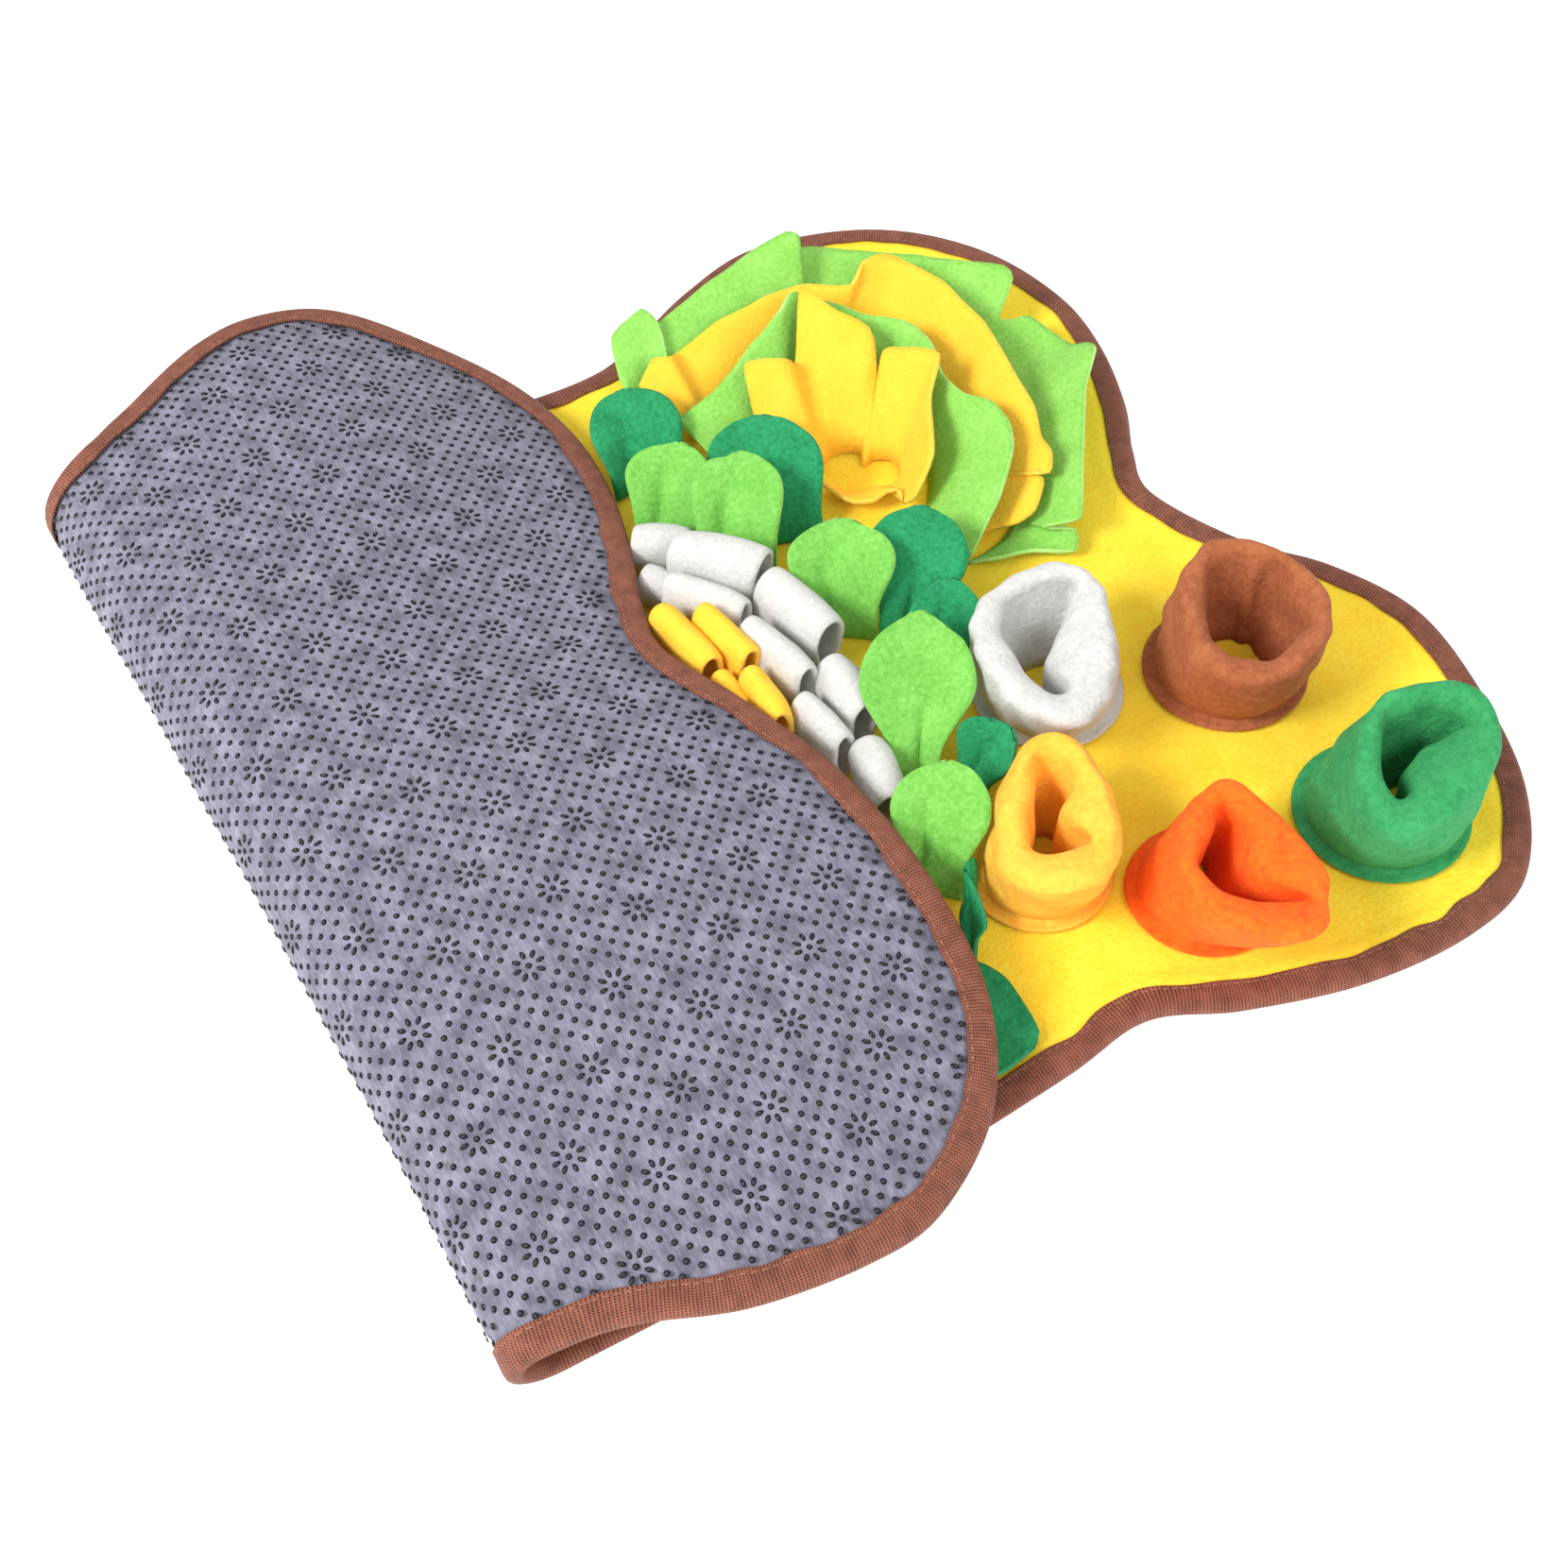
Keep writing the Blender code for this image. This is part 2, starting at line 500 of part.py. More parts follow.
def patch_solid(name, grid, material, collection, wrap=False, thickness=PATCH, side=0.0):
    """A surface of cloth, given as rows of points, with its thickness by Solidify."""
    rows, cols = len(grid), len(grid[0])
    verts = [world(p) for row in grid for p in row]
    faces = []
    for i in range(rows if wrap else rows - 1):
        for k in range(cols - 1):
            n = (i + 1) % rows
            faces.append((i * cols + k, i * cols + k + 1, n * cols + k + 1, n * cols + k))
    mesh = bpy.data.meshes.new(name)
    mesh.from_pydata(verts, [], faces)
    obj = add_object(name, mesh, material, collection)
    solid = obj.modifiers.new("Thickness", "SOLIDIFY")
    solid.thickness = thickness * MM
    solid.offset = side
    return obj


def petal(name, row, material, collection):
    """A round-ended petal, sewn down at its root, that stands up and leans over to its tip."""
    root_x, root_y, tip_x, tip_y, tip_z, width, twist, neck, cupping = row
    root, tip = np.array([root_x, root_y], float), np.array([tip_x, tip_y], float)
    way = (tip - root) / np.linalg.norm(tip - root)
    turn = math.radians(twist)
    facing = np.array([way[0] * math.cos(turn) - way[1] * math.sin(turn),
                       way[0] * math.sin(turn) + way[1] * math.cos(turn)])
    side = np.array([-facing[1], facing[0]])
    foot = TOP + 0.5 * PATCH
    grid = []
    for i in range(PETAL_ALONG + 1):
        t = i / PETAL_ALONG
        middle = root + (tip - root) * t ** 1.35
        height = foot + (tip_z - foot) * math.sin(t * math.pi / 2)
        share = petal_width(t, neck)
        row_points = []
        for k in range(PETAL_ACROSS + 1):
            w = 2.0 * k / PETAL_ACROSS - 1.0
            cup = cupping * w * w * share * min(1.0, 0.35 + t)
            plan = middle + 0.5 * width * share * w * side - cup * facing
            row_points.append(np.array([plan[0], plan[1], height + 0.35 * cup]))
        grid.append(row_points)
    return patch_solid(name, grid, material, collection)


def petal_width(t, neck):
    """A petal's width at t of its length: a narrow neck, widest where the head begins, round at the tip."""
    rise = min(max((t - 0.2) / (HEAD_FROM - 0.2), 0.0), 1.0)
    body = neck + (1.0 - neck) * rise * rise * (3 - 2 * rise)
    end = math.sqrt(max(0.0, 1.0 - (max(0.0, t - HEAD_FROM) / HEAD_LONG) ** 2))
    return body * end


def loop(name, row, material, collection):
    """A strip folded into a loop, both ends sewn down together at its foot."""
    foot_x, foot_y, facing, width, height, depth, lean, bow = row
    out = np.array([math.cos(math.radians(facing)), math.sin(math.radians(facing)), 0.0])
    side = np.array([-out[1], out[0], 0.0])
    base = np.array([foot_x, foot_y, 0.0])
    low = TOP + 0.5 * PATCH
    grid = []
    for i in range(LOOP_SIDES):
        turn = 2.0 * math.pi * i / LOOP_SIDES
        up = 0.5 - 0.5 * math.cos(turn)
        bulge = math.sin(turn) * (0.35 + 0.65 * up)
        centre = base + 0.5 * depth * bulge * out
        z = low + (height - PATCH - TOP) * up
        middle = centre + lean * up * out + np.array([0.0, 0.0, z])
        row = [middle - side * 0.5 * width, middle - 0.25 * bow * up * out,
               middle - bow * up * out + side * 0.5 * width]
        grid.append(row if bow > BOW_FLAT else [row[0], row[2]])
    return patch_solid(name, grid, material, collection, wrap=True)


def strip(name, rows, material, collection):
    """A pleated strip that stands on its long edge and leans outwards."""
    grid = []
    for foot_x, foot_y, top_x, top_y, top_z in rows:
        foot = np.array([foot_x, foot_y, TOP + 0.5 * PATCH])
        top = np.array([top_x, top_y, top_z])
        column = []
        for k in range(STRIP_RISE + 1):
            t = k / STRIP_RISE
            point = foot + (top - foot) * t
            point[2] = foot[2] + (top_z - foot[2]) * t ** 0.8
            column.append(point)
        grid.append(column)
    return patch_solid(name, grid, material, collection)


def tube(name, foot_row, rim_rows, material, collection):
    """An open tube of doubled fleece: one sheet from the flared foot up, over the rim and down inside."""
    foot_x, foot_y, foot_r, rim_z, mouth_draw, mouth_back = foot_row
    rim = even_rows(catmull(rim_rows, 3.0, closed=True), TUBE_SIDES)
    crest, edge, edge_z = rim[:, :2], rim[:, 2:4], rim[:, 4]
    start = crest[0] - crest.mean(axis=0)
    turns = math.atan2(start[1], start[0]) - np.arange(TUBE_SIDES) * 2.0 * math.pi / TUBE_SIDES
    foot_out = np.column_stack([np.cos(turns), np.sin(turns)])
    foot = (foot_x, foot_y) + foot_r * foot_out
    ahead = np.roll(crest, -1, axis=0) - np.roll(crest, 1, axis=0)
    ahead /= np.linalg.norm(ahead, axis=1)[:, None]
    crest_out = np.column_stack([-ahead[:, 1], ahead[:, 0]])
    shoulder = crest + RIM_ROUND * crest_out
    mouth = edge + mouth_draw * (edge.mean(axis=0) - edge) + (0.0, mouth_back)
    low, high = TOP + TUBE_WALL + 0.3, rim_z - RIM_ROUND
    full = np.ones(TUBE_SIDES)
    lines = [(foot + FOOT_FLARE * foot_out, low * full), (foot, (low + 1.2) * full),
             (0.5 * (foot + shoulder) + TUBE_BULGE * crest_out, 0.5 * (low + high) * full), (shoulder, high * full)]
    over = math.radians(45)
    lines.append((crest + RIM_ROUND * math.cos(over) * crest_out, (high + RIM_ROUND * math.sin(over)) * full))
    lines.append((crest, rim_z * full))
    lines.append((crest + (edge - crest) * math.sin(over), edge_z + (rim_z - edge_z) * math.cos(over)))
    lines += [(edge, edge_z), (mouth, (TOP + 0.5) * full)]
    grid = np.array([np.column_stack(line) for line in lines]).transpose(1, 0, 2)
    return patch_solid(name, grid, material, collection, wrap=True, thickness=TUBE_WALL, side=-1.0)


def even_rows(rows, count):
    """count rows spread evenly round a closed line, by distance in their first two columns."""
    rows = np.array(rows + rows[:1])
    along = np.concatenate([[0.0], np.cumsum(np.linalg.norm(np.diff(rows[:, :2], axis=0), axis=1))])
    at = np.arange(count) * along[-1] / count
    return np.column_stack([np.interp(at, along, rows[:, k]) for k in range(rows.shape[1])])


clear_scene()
mat = new_collection("snuffle_mat")
edge = outline_points()

make_sheet("felt_backing", edge, 0.0, FELT, cloth("needled felt", FELT_COLOUR, 0.95), mat)
make_sheet("fleece_panel", edge, FELT + PLY_GAP, STACK, cloth("orange fleece", FLEECE_COLOUR, 0.9), mat)
make_binding(edge, cloth("woven tape", TAPE_COLOUR, 0.7), mat)

dark_green = cloth("dark green fleece", DARK_GREEN, 0.9)
for number, petal_row in enumerate(PETALS_DARK, 1):
    petal(f"petal_dark_{number}", petal_row, dark_green, mat)
light_green = cloth("light green fleece", LIGHT_GREEN, 0.9)
for number, petal_row in enumerate(PETALS_LIGHT, 1):
    petal(f"petal_light_{number}", petal_row, light_green, mat)

white = cloth("white fleece", WHITE, 0.9)
for number, loop_row in enumerate(LOOPS_WHITE, 1):
    loop(f"loop_white_{number}", loop_row, white, mat)
yellow = cloth("yellow fleece", YELLOW, 0.9)
for number, loop_row in enumerate(LOOPS_YELLOW, 1):
    loop(f"loop_yellow_{number}", loop_row, yellow, mat)

strip("rosette_lime_outer", ROSETTE_LIME_OUTER, light_green, mat)
strip("rosette_yellow_outer", ROSETTE_YELLOW_OUTER, yellow, mat)
strip("rosette_lime_inner", ROSETTE_LIME_INNER, light_green, mat)
strip("rosette_yellow_inner", ROSETTE_YELLOW_INNER, yellow, mat)
strip("rosette_lime_end", ROSETTE_LIME_END, light_green, mat)

for tube_name, tube_row in TUBES.items():
    tube_fleece = cloth(tube_name + " fleece", TUBE_COLOURS[tube_name], 0.9)
    tube(tube_name, tube_row, TUBE_RIMS[tube_name], tube_fleece, mat)
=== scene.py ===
"""Looks of a snuffle mat that lies folded over like a book: felt and fleece, a taped edge, half of a
fleece daisy, a pleated rosette and five short tubes.

Sizes are in millimetres on a plan measured from the fold: x runs along the mat from the fold, y across
it and z up. Flat positions on the cloth use s in place of x, which falls below 0 round the fold.
"""
import math

import bpy
import numpy as np
from mathutils import Matrix, Vector, geometry


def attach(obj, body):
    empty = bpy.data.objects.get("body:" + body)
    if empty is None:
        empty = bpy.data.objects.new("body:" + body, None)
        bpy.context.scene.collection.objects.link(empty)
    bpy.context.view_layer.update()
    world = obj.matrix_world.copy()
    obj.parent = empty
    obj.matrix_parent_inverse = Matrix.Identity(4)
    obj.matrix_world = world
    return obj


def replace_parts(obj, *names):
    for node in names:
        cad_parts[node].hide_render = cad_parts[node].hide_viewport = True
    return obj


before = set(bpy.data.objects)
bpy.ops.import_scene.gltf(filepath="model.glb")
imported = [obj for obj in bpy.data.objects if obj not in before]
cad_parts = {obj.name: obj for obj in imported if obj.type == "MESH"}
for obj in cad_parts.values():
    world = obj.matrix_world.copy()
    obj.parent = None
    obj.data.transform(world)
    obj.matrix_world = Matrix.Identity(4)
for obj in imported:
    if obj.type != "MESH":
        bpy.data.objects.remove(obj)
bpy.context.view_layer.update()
MM = 0.001


# ---- Camera ----
# It stands over the near side of the mat, a little towards the fold, and looks down at about 53
# degrees, as the photographer did.

PLAN_CENTRE = (182.8, 5.5)  # plan position of the frame's origin


def place(points):
    """Plan positions in millimetres, turned to the frame's metres."""
    return (np.asarray(points, float) - (*PLAN_CENTRE, 0.0)) * MM


CAMERA_PLACE = (-54.3, -431.7, 585.0)
CAMERA_LOOK = Vector((0.29091, 0.52335, -0.80092))
CAMERA_UP = Vector((0.45001, 0.66390, 0.59727))
CAMERA_LENS = 47.5  # on a sensor 36 mm wide

camera = bpy.data.objects.new("camera", bpy.data.cameras.new("camera"))
camera.data.lens = CAMERA_LENS
camera.data.sensor_width = 36.0
camera_right = CAMERA_LOOK.cross(CAMERA_UP).normalized()
camera_turn = Matrix((camera_right, camera_right.cross(CAMERA_LOOK), -CAMERA_LOOK)).transposed()
camera.matrix_world = Matrix.Translation(place(CAMERA_PLACE)) @ camera_turn.to_4x4()
bpy.context.collection.objects.link(camera)
bpy.context.scene.camera = camera


# ---- Felt backing ----
# One sheet of needled grey felt, cut with four lobes and folded over with the mat, so that its outer
# face lies up on the flap. It runs under the tape all round.

FELT = 1.6  # thickness of the felt
FLEECE = 1.8  # thickness of the fleece inside it
PLY_GAP = 0.4
TAPE = 0.9  # thickness of the binding tape
TAPE_WIDTH = 10.0  # tape seen on each face
TAPE_GAP = 0.55
EDGE_DIP = TAPE + TAPE_GAP  # how far the sheets step inwards under the tape
DIP_FROM, DIP_TO = 11.5, 18.0  # distances from the edge between which that step fades out
SHEET_EDGE = 2.6  # distance from the tape's outer edge to the sheets' cut edge
DOT_HEIGHT = 0.5  # the felt's face lies this far inside the tops of its dots
FACE_STEP = 5.0  # spacing of the points on the sheets
EDGE_STEP = 2.5  # spacing of the points along their edge

FOLD_X = 20.0  # plan x where the lower layer ends and the flap begins
FOLD_LENGTH = 100.0  # length of cloth that goes round the fold
FOLD_ROUND = 1.25  # depth of the fold over half its height
FOLD_POINTS, FLAP_POINTS = 41, 38  # points of one section round the fold and along the flap
FLAP_REACH = 60.0  # how far the last slope of a section runs on past its last height
SECTION_X = (20.0, 60.0, 98.0, 136.0, 172.0)
SECTIONS = (
    # y,     left_x, left_z, heights of the flap's upper face at SECTION_X
    (-240.0, -28.0, 12.5, (25.0, 24.0, 22.0, 20.0, 17.0)),
    (-205.0, -27.0, 13.5, (28.0, 29.0, 28.0, 25.0, 21.0)),
    (-170.0, -25.0, 16.0, (32.0, 35.0, 35.0, 33.0, 31.0)),
    (-130.0, -23.0, 18.5, (37.0, 40.0, 40.0, 37.0, 36.0)),
    (-90.0, -22.0, 21.5, (44.0, 46.0, 43.0, 38.0, 35.0)),
    (-40.0, -21.0, 23.5, (47.0, 49.0, 45.0, 38.0, 33.0)),
    (0.0, -20.0, 24.5, (49.0, 48.0, 41.0, 34.0, 29.0)),
    (40.0, -20.0, 25.0, (50.0, 45.0, 36.0, 28.0, 23.0)),
    (90.0, -19.0, 25.0, (50.0, 45.0, 36.0, 26.0, 19.0)),
    (150.0, -19.0, 25.0, (50.0, 47.0, 41.0, 29.0, 18.0)),
    (200.0, -18.0, 24.5, (48.0, 49.0, 43.0, 31.0, 20.0)),
    (240.0, -17.0, 24.0, (46.0, 46.0, 42.0, 34.0, 24.0)),
)
OUTLINE = (
    # outer edge of the tape, flat (s, y), clockwise: free end with its notch and near lobe
    (330, -14), (342, -52), (361, -81), (372, -115), (366, -152), (349, -194), (322, -223),
    (291, -230), (250, -225), (211, -211), (183, -197),
    # near waist, round the fold
    (150, -199), (90, -200), (20, -199), (-40, -195), (-71, -198),
    # flap: near lobe, notch and far lobe
    (-91, -203), (-122, -217), (-158, -224), (-186, -222), (-218, -203), (-238, -171), (-246, -123),
    (-246, -76), (-236, -33), (-226, 4), (-232, 30), (-245, 61), (-256, 95), (-261, 133),
    (-254, 169), (-232, 204), (-203, 233), (-172, 241), (-145, 235), (-105, 213), (-75, 201),
    # far waist, round the fold
    (-40, 196), (20, 190), (90, 181), (150, 172), (186, 170),
    # free end: far lobe
    (211, 179), (241, 192), (276, 200), (314, 190), (343, 169), (363, 136), (370, 97), (365, 64),
    (352, 31), (338, 8),
)
FELT_FIBRES = ("#595765", "#878596")
FELT_FLECK = "#BDBCCB"
FIBRE_WIDE = 1.1  # width of a fibre's mark on the felt


def hermite(t, start, end, start_slope, end_slope):
    """The smooth curve at t from 0 to 1 between two ends with their slopes."""
    return ((2 * t ** 3 - 3 * t * t + 1) * start + (t ** 3 - 2 * t * t + t) * start_slope
            + (3 * t * t - 2 * t ** 3) * end + (t ** 3 - t * t) * end_slope)


def unit(vectors):
    """The vectors, each made one long."""
    return vectors / np.linalg.norm(vectors, axis=1)[:, None]


def lengths_along(points):
    """Distance of each point from the first, along the line through them."""
    return np.concatenate([[0.0], np.cumsum(np.linalg.norm(np.diff(points, axis=0), axis=1))])


def smooth_curve(points, step, closed, tension=0.5):
    """Points about step apart on a curve through the given ones; a low tension makes it more angular."""
    pts = [np.array(p, float) for p in points]
    count = len(pts)
    out = []
    for i in range(count if closed else count - 1):
        if closed:
            a, b, c, d = (pts[(i + k - 1) % count] for k in range(4))
        else:
            a, b, c, d = (pts[min(max(i + k - 1, 0), count - 1)] for k in range(4))
        cuts = max(1, round(float(np.linalg.norm(c - b)) / step))
        out += [hermite(k / cuts, b, c, tension * (c - a), tension * (d - b)) for k in range(cuts)]
    if not closed:
        out.append(pts[-1])
    return np.array(out)


def smooth_lookup(value, keys, rows):
    """Row at value, with smooth change between the rows at keys."""
    value = min(max(value, keys[0]), keys[-1])
    i = min(max(int(np.searchsorted(keys, value)) - 1, 0), len(keys) - 2)
    span = keys[i + 1] - keys[i]
    t = (value - keys[i]) / span

    def slope(k):
        low, high = max(k - 1, 0), min(k + 1, len(keys) - 1)
        return (rows[high] - rows[low]) / (keys[high] - keys[low])

    return hermite(t, rows[i], rows[i + 1], span * slope(i), span * slope(i + 1))


def section_path(y):
    """The felt's outer face at one y: lengths along it from the fold's start, and its (x, z) points."""
    section_y = np.array([row[0] for row in SECTIONS])
    section_sizes = np.array([(*row[1:3], *row[3]) for row in SECTIONS])
    row = smooth_lookup(y, section_y, section_sizes)
    left_x, left_z, heights = row[0], row[1], row[2:]
    crest = heights[0]
    depth = FOLD_ROUND * left_z
    middle = left_x + depth
    fold_part = [(FOLD_X, 0.0)]
    for angle in np.linspace(270.0, 90.0, FOLD_POINTS):
        a = math.radians(angle)
        half = left_z if angle > 180.0 else crest - 1.0 - left_z
        fold_part.append((middle + depth * math.cos(a), left_z + half * math.sin(a)))
    fold_part += [(0.5 * (middle + FOLD_X), crest - 0.4), (FOLD_X, crest)]
    flap_x = np.linspace(FOLD_X + 4, SECTION_X[-1], FLAP_POINTS)
    flap = [(x, float(smooth_lookup(x, np.array(SECTION_X), heights))) for x in flap_x]
    end, before = flap[-1], flap[-2]
    reach = FLAP_REACH / (end[0] - before[0])
    flap.append((end[0] + FLAP_REACH, end[1] + reach * (end[1] - before[1])))
    round_fold = lengths_along(fold_part)
    round_fold *= FOLD_LENGTH / round_fold[-1]
    along_flap = lengths_along([fold_part[-1]] + flap)[1:] + FOLD_LENGTH
    return np.concatenate([round_fold, along_flap]), np.array(fold_part + flap)


FOLD_Y = np.arange(-250.0, 251.0, 5.0)
FOLD_S = np.arange(0.0, 275.0, 2.0)
fold_table = np.zeros((len(FOLD_Y), len(FOLD_S), 2))
for row_number, row_y in enumerate(FOLD_Y):
    along_path, path_points = section_path(row_y)
    for axis in range(2):
        fold_table[row_number, :, axis] = np.interp(FOLD_S, along_path, path_points[:, axis])


def on_fold(length, y):
    """(x, z) of the folded felt's outer face, at lengths from the fold's start and at y."""
    row = np.clip((y - FOLD_Y[0]) / (FOLD_Y[1] - FOLD_Y[0]), 0, len(FOLD_Y) - 1.001)
    col = np.clip(length / (FOLD_S[1] - FOLD_S[0]), 0, len(FOLD_S) - 1.001)
    r, c = row.astype(int), col.astype(int)
    u, v = (row - r)[:, None], (col - c)[:, None]
    return ((1 - u) * ((1 - v) * fold_table[r, c] + v * fold_table[r, c + 1])
            + u * ((1 - v) * fold_table[r + 1, c] + v * fold_table[r + 1, c + 1]))


def fold(flat, offset):
    """Plan-and-height positions of flat points (s, y), moved inwards from the felt's outer face."""
    flat = np.asarray(flat, float)
    offset = np.broadcast_to(np.asarray(offset, float), len(flat))
    s, y = flat[:, 0], flat[:, 1]
    length = np.maximum(-s, 0.0)
    here = on_fold(length, y)
    ahead = unit(on_fold(length + 3.0, y) - on_fold(np.maximum(length - 3.0, 0.0), y))
    x = here[:, 0] + offset * ahead[:, 1]
    z = here[:, 1] - offset * ahead[:, 0]
    lower = s >= 0.0
    return np.column_stack([np.where(lower, FOLD_X + s, x), y, np.where(lower, offset, z)])


def outwards(points):
    """Directions out of a closed clockwise outline at its points."""
    ahead = unit(np.roll(points, -1, axis=0) - np.roll(points, 1, axis=0))
    return np.column_stack([-ahead[:, 1], ahead[:, 0]])


def inset(points, distance):
    """The closed clockwise outline moved inwards by distance."""
    return points - np.asarray(distance).reshape(-1, 1) * outwards(points)


def edge_distance(points, outline):
    """Distance of flat points to the outline, below 0 outside it."""
    start, end = outline, np.roll(outline, -1, axis=0)
    span = end - start
    out = np.zeros(len(points))
    for first in range(0, len(points), 2000):
        p = points[first:first + 2000, None, :]
        t = np.clip(((p - start) * span).sum(2) / (span ** 2).sum(1), 0.0, 1.0)
        near = np.linalg.norm(start + t[:, :, None] * span - p, axis=2).min(1)
        crosses = (start[:, 1] > p[:, :, 1]) != (end[:, 1] > p[:, :, 1])
        rise = np.where(np.abs(span[:, 1]) < 1e-9, 1e-9, span[:, 1])
        left = p[:, :, 0] < start[:, 0] + (p[:, :, 1] - start[:, 1]) / rise * span[:, 0]
        out[first:first + 2000] = np.where((crosses & left).sum(1) % 2 == 1, near, -near)
    return out


def dip(distance):
    """How far the sheets step inwards at a distance from the edge, to make room for the tape."""
    t = np.clip((DIP_TO - distance) / (DIP_TO - DIP_FROM), 0.0, 1.0)
    return EDGE_DIP * t * t * (3 - 2 * t)


def linear(hex_colour):
    """A colour written as sRGB hex, as linear red, green and blue with full alpha."""
    values = [int(hex_colour[i:i + 2], 16) / 255.0 for i in (1, 3, 5)]
    return tuple(v / 12.92 if v <= 0.04045 else ((v + 0.055) / 1.055) ** 2.4 for v in values) + (1.0,)


def add_node(tree, kind, inputs=None, **settings):
    """Add a node with its settings; an input takes a value, or the socket that is linked to it."""
    node = tree.nodes.new(kind)
    for name, value in settings.items():
        setattr(node, name, value)
    for key, value in (inputs or {}).items():
        if isinstance(value, bpy.types.NodeSocket):
            tree.links.new(value, node.inputs[key])
        else:
            node.inputs[key].default_value = value
    return node


def noise(tree, vector, size, **inputs):
    """Noise with features about size millimetres across."""
    return add_node(tree, "ShaderNodeTexNoise", {
        "Vector": vector, "Scale": 1 / (size * MM), **inputs}).outputs[0]


def calculate(tree, operation, *values):
    """The result of a Math node on values and sockets."""
    return add_node(tree, "ShaderNodeMath", dict(enumerate(values)), operation=operation).outputs[0]


def spread(tree, value, low, high, top=1.0):
    """A share that grows from 0 to top as the value goes from low to high."""
    return add_node(tree, "ShaderNodeMapRange", {
        "Value": value, "From Min": low, "From Max": high, "To Max": top}).outputs[0]


def blend(tree, share, *colours):
    """A colour between two, each given as a hex colour or a socket."""
    low, high = (linear(colour) if isinstance(colour, str) else colour for colour in colours)
    return add_node(tree, "ShaderNodeMix", {0: share, 6: low, 7: high}, data_type="RGBA").outputs[2]


def relief(tree, shader, height, strength, depth):
    """Link a bump of the given depth in millimetres to the shader."""
    bump = add_node(tree, "ShaderNodeBump", {"Height": height, "Strength": strength, "Distance": depth * MM})
    tree.links.new(bump.outputs[0], shader.inputs["Normal"])


def set_shader(shader, values):
    """Set plain values on the shader's sockets, named as in its panel."""
    for name, value in values.items():
        shader.inputs[name].default_value = value


def new_material(name):
    """A material with an empty Principled shader, its tree and the shader."""
    material = bpy.data.materials.new(name)
    material.use_nodes = True
    return material, material.node_tree, material.node_tree.nodes["Principled BSDF"]


def make_object(name, verts, faces, materials, uv=None):
    """A mesh object from plan positions, with an own UV map in metres where flat positions are given."""
    mesh = bpy.data.meshes.new(name)
    mesh.from_pydata(place(verts).tolist(), [], [list(map(int, f)) for f in faces])
    if uv is not None:
        corners = np.zeros(len(mesh.loops), int)
        mesh.loops.foreach_get("vertex_index", corners)
        mesh.uv_layers.new(name="flat").data.foreach_set("uv", (np.asarray(uv)[corners] * MM).ravel())
    for material in materials:
        mesh.materials.append(material)
    mesh.shade_smooth()
    obj = bpy.data.objects.new(name, mesh)
    bpy.context.collection.objects.link(obj)
    return obj


# The sheets' flat mesh: points round the cut edge, in rows along it, and spread over the middle.
outline = smooth_curve(OUTLINE, EDGE_STEP, closed=True)
sheet_edge = inset(outline, SHEET_EDGE)
rows_by_edge = [inset(outline, d) for d in (5.0, 8.0, 10.5, 12.5, 14.5, 16.5, 18.5)]
grid_s, grid_y = np.meshgrid(np.arange(-265.0, 375.0, FACE_STEP),
                             np.arange(-232.0, 243.0, FACE_STEP * 0.866))
grid_s[1::2] += 0.5 * FACE_STEP
middle_points = np.column_stack([grid_s.ravel(), grid_y.ravel()])
middle_points = middle_points[edge_distance(middle_points, outline) > 21.0]
loose_points = np.vstack([sheet_edge] + rows_by_edge + [middle_points])
cut = geometry.delaunay_2d_cdt([Vector(p) for p in loose_points], [],
                               [list(range(len(sheet_edge)))], 1, 1e-4)
flat_points = np.array([tuple(p) for p in cut[0]])
flat_faces = np.array(cut[2])
flat_dip = dip(edge_distance(flat_points, outline))
corner = flat_points[flat_faces]
turned = np.cross(corner[:, 1] - corner[:, 0], corner[:, 2] - corner[:, 0]) < 0
flat_faces[turned] = flat_faces[turned][:, ::-1]
rim_counts = {}
for face in flat_faces.tolist():
    for a, b in zip(face, face[1:] + face[:1]):
        rim_counts[(a, b)] = rim_counts.get((b, a), 0) == 0
rim_edges = [e for e in rim_counts if (e[1], e[0]) not in rim_counts]


def folded_sheet(name, low, high, material):
    """A sheet of the mat's outline between two offsets from the felt's outer face, closed at its edge."""
    count = len(flat_points)
    verts = np.vstack([fold(flat_points, low + flat_dip), fold(flat_points, high + flat_dip)])
    faces = [f[::-1] for f in flat_faces.tolist()] + [[i + count for i in f] for f in flat_faces.tolist()]
    faces += [(a, b, b + count, a + count) for a, b in rim_edges]
    return make_object(name, verts, faces, [material], np.vstack([flat_points, flat_points]))


# Needled felt: short grey-lilac fibres lie in every direction, so it looks mottled and quite matt.
felt_material, tree, shader = new_material("needled grey felt")
felt_uv = add_node(tree, "ShaderNodeUVMap", uv_map="flat").outputs["UV"]
felt_height = None
for turn, stretch in ((20, 5.0), (78, 4.0), (137, 4.5)):
    lie = add_node(tree, "ShaderNodeMapping", {
        "Vector": felt_uv, "Rotation": (0, 0, math.radians(turn)),
        "Scale": (1 / (FIBRE_WIDE * MM), 1 / (FIBRE_WIDE * MM * stretch), 1)}).outputs[0]
    fibres = add_node(tree, "ShaderNodeTexNoise", {
        "Vector": lie, "Scale": 1.0, "Detail": 2.0, "Distortion": 0.6}).outputs[0]
    felt_height = fibres if felt_height is None else calculate(tree, "MAXIMUM", felt_height, fibres)
felt_tone = calculate(tree, "ADD", felt_height, noise(tree, felt_uv, 9.0, Detail=3.0))
felt_colour = blend(tree, spread(tree, felt_tone, 0.88, 1.36), *FELT_FIBRES)
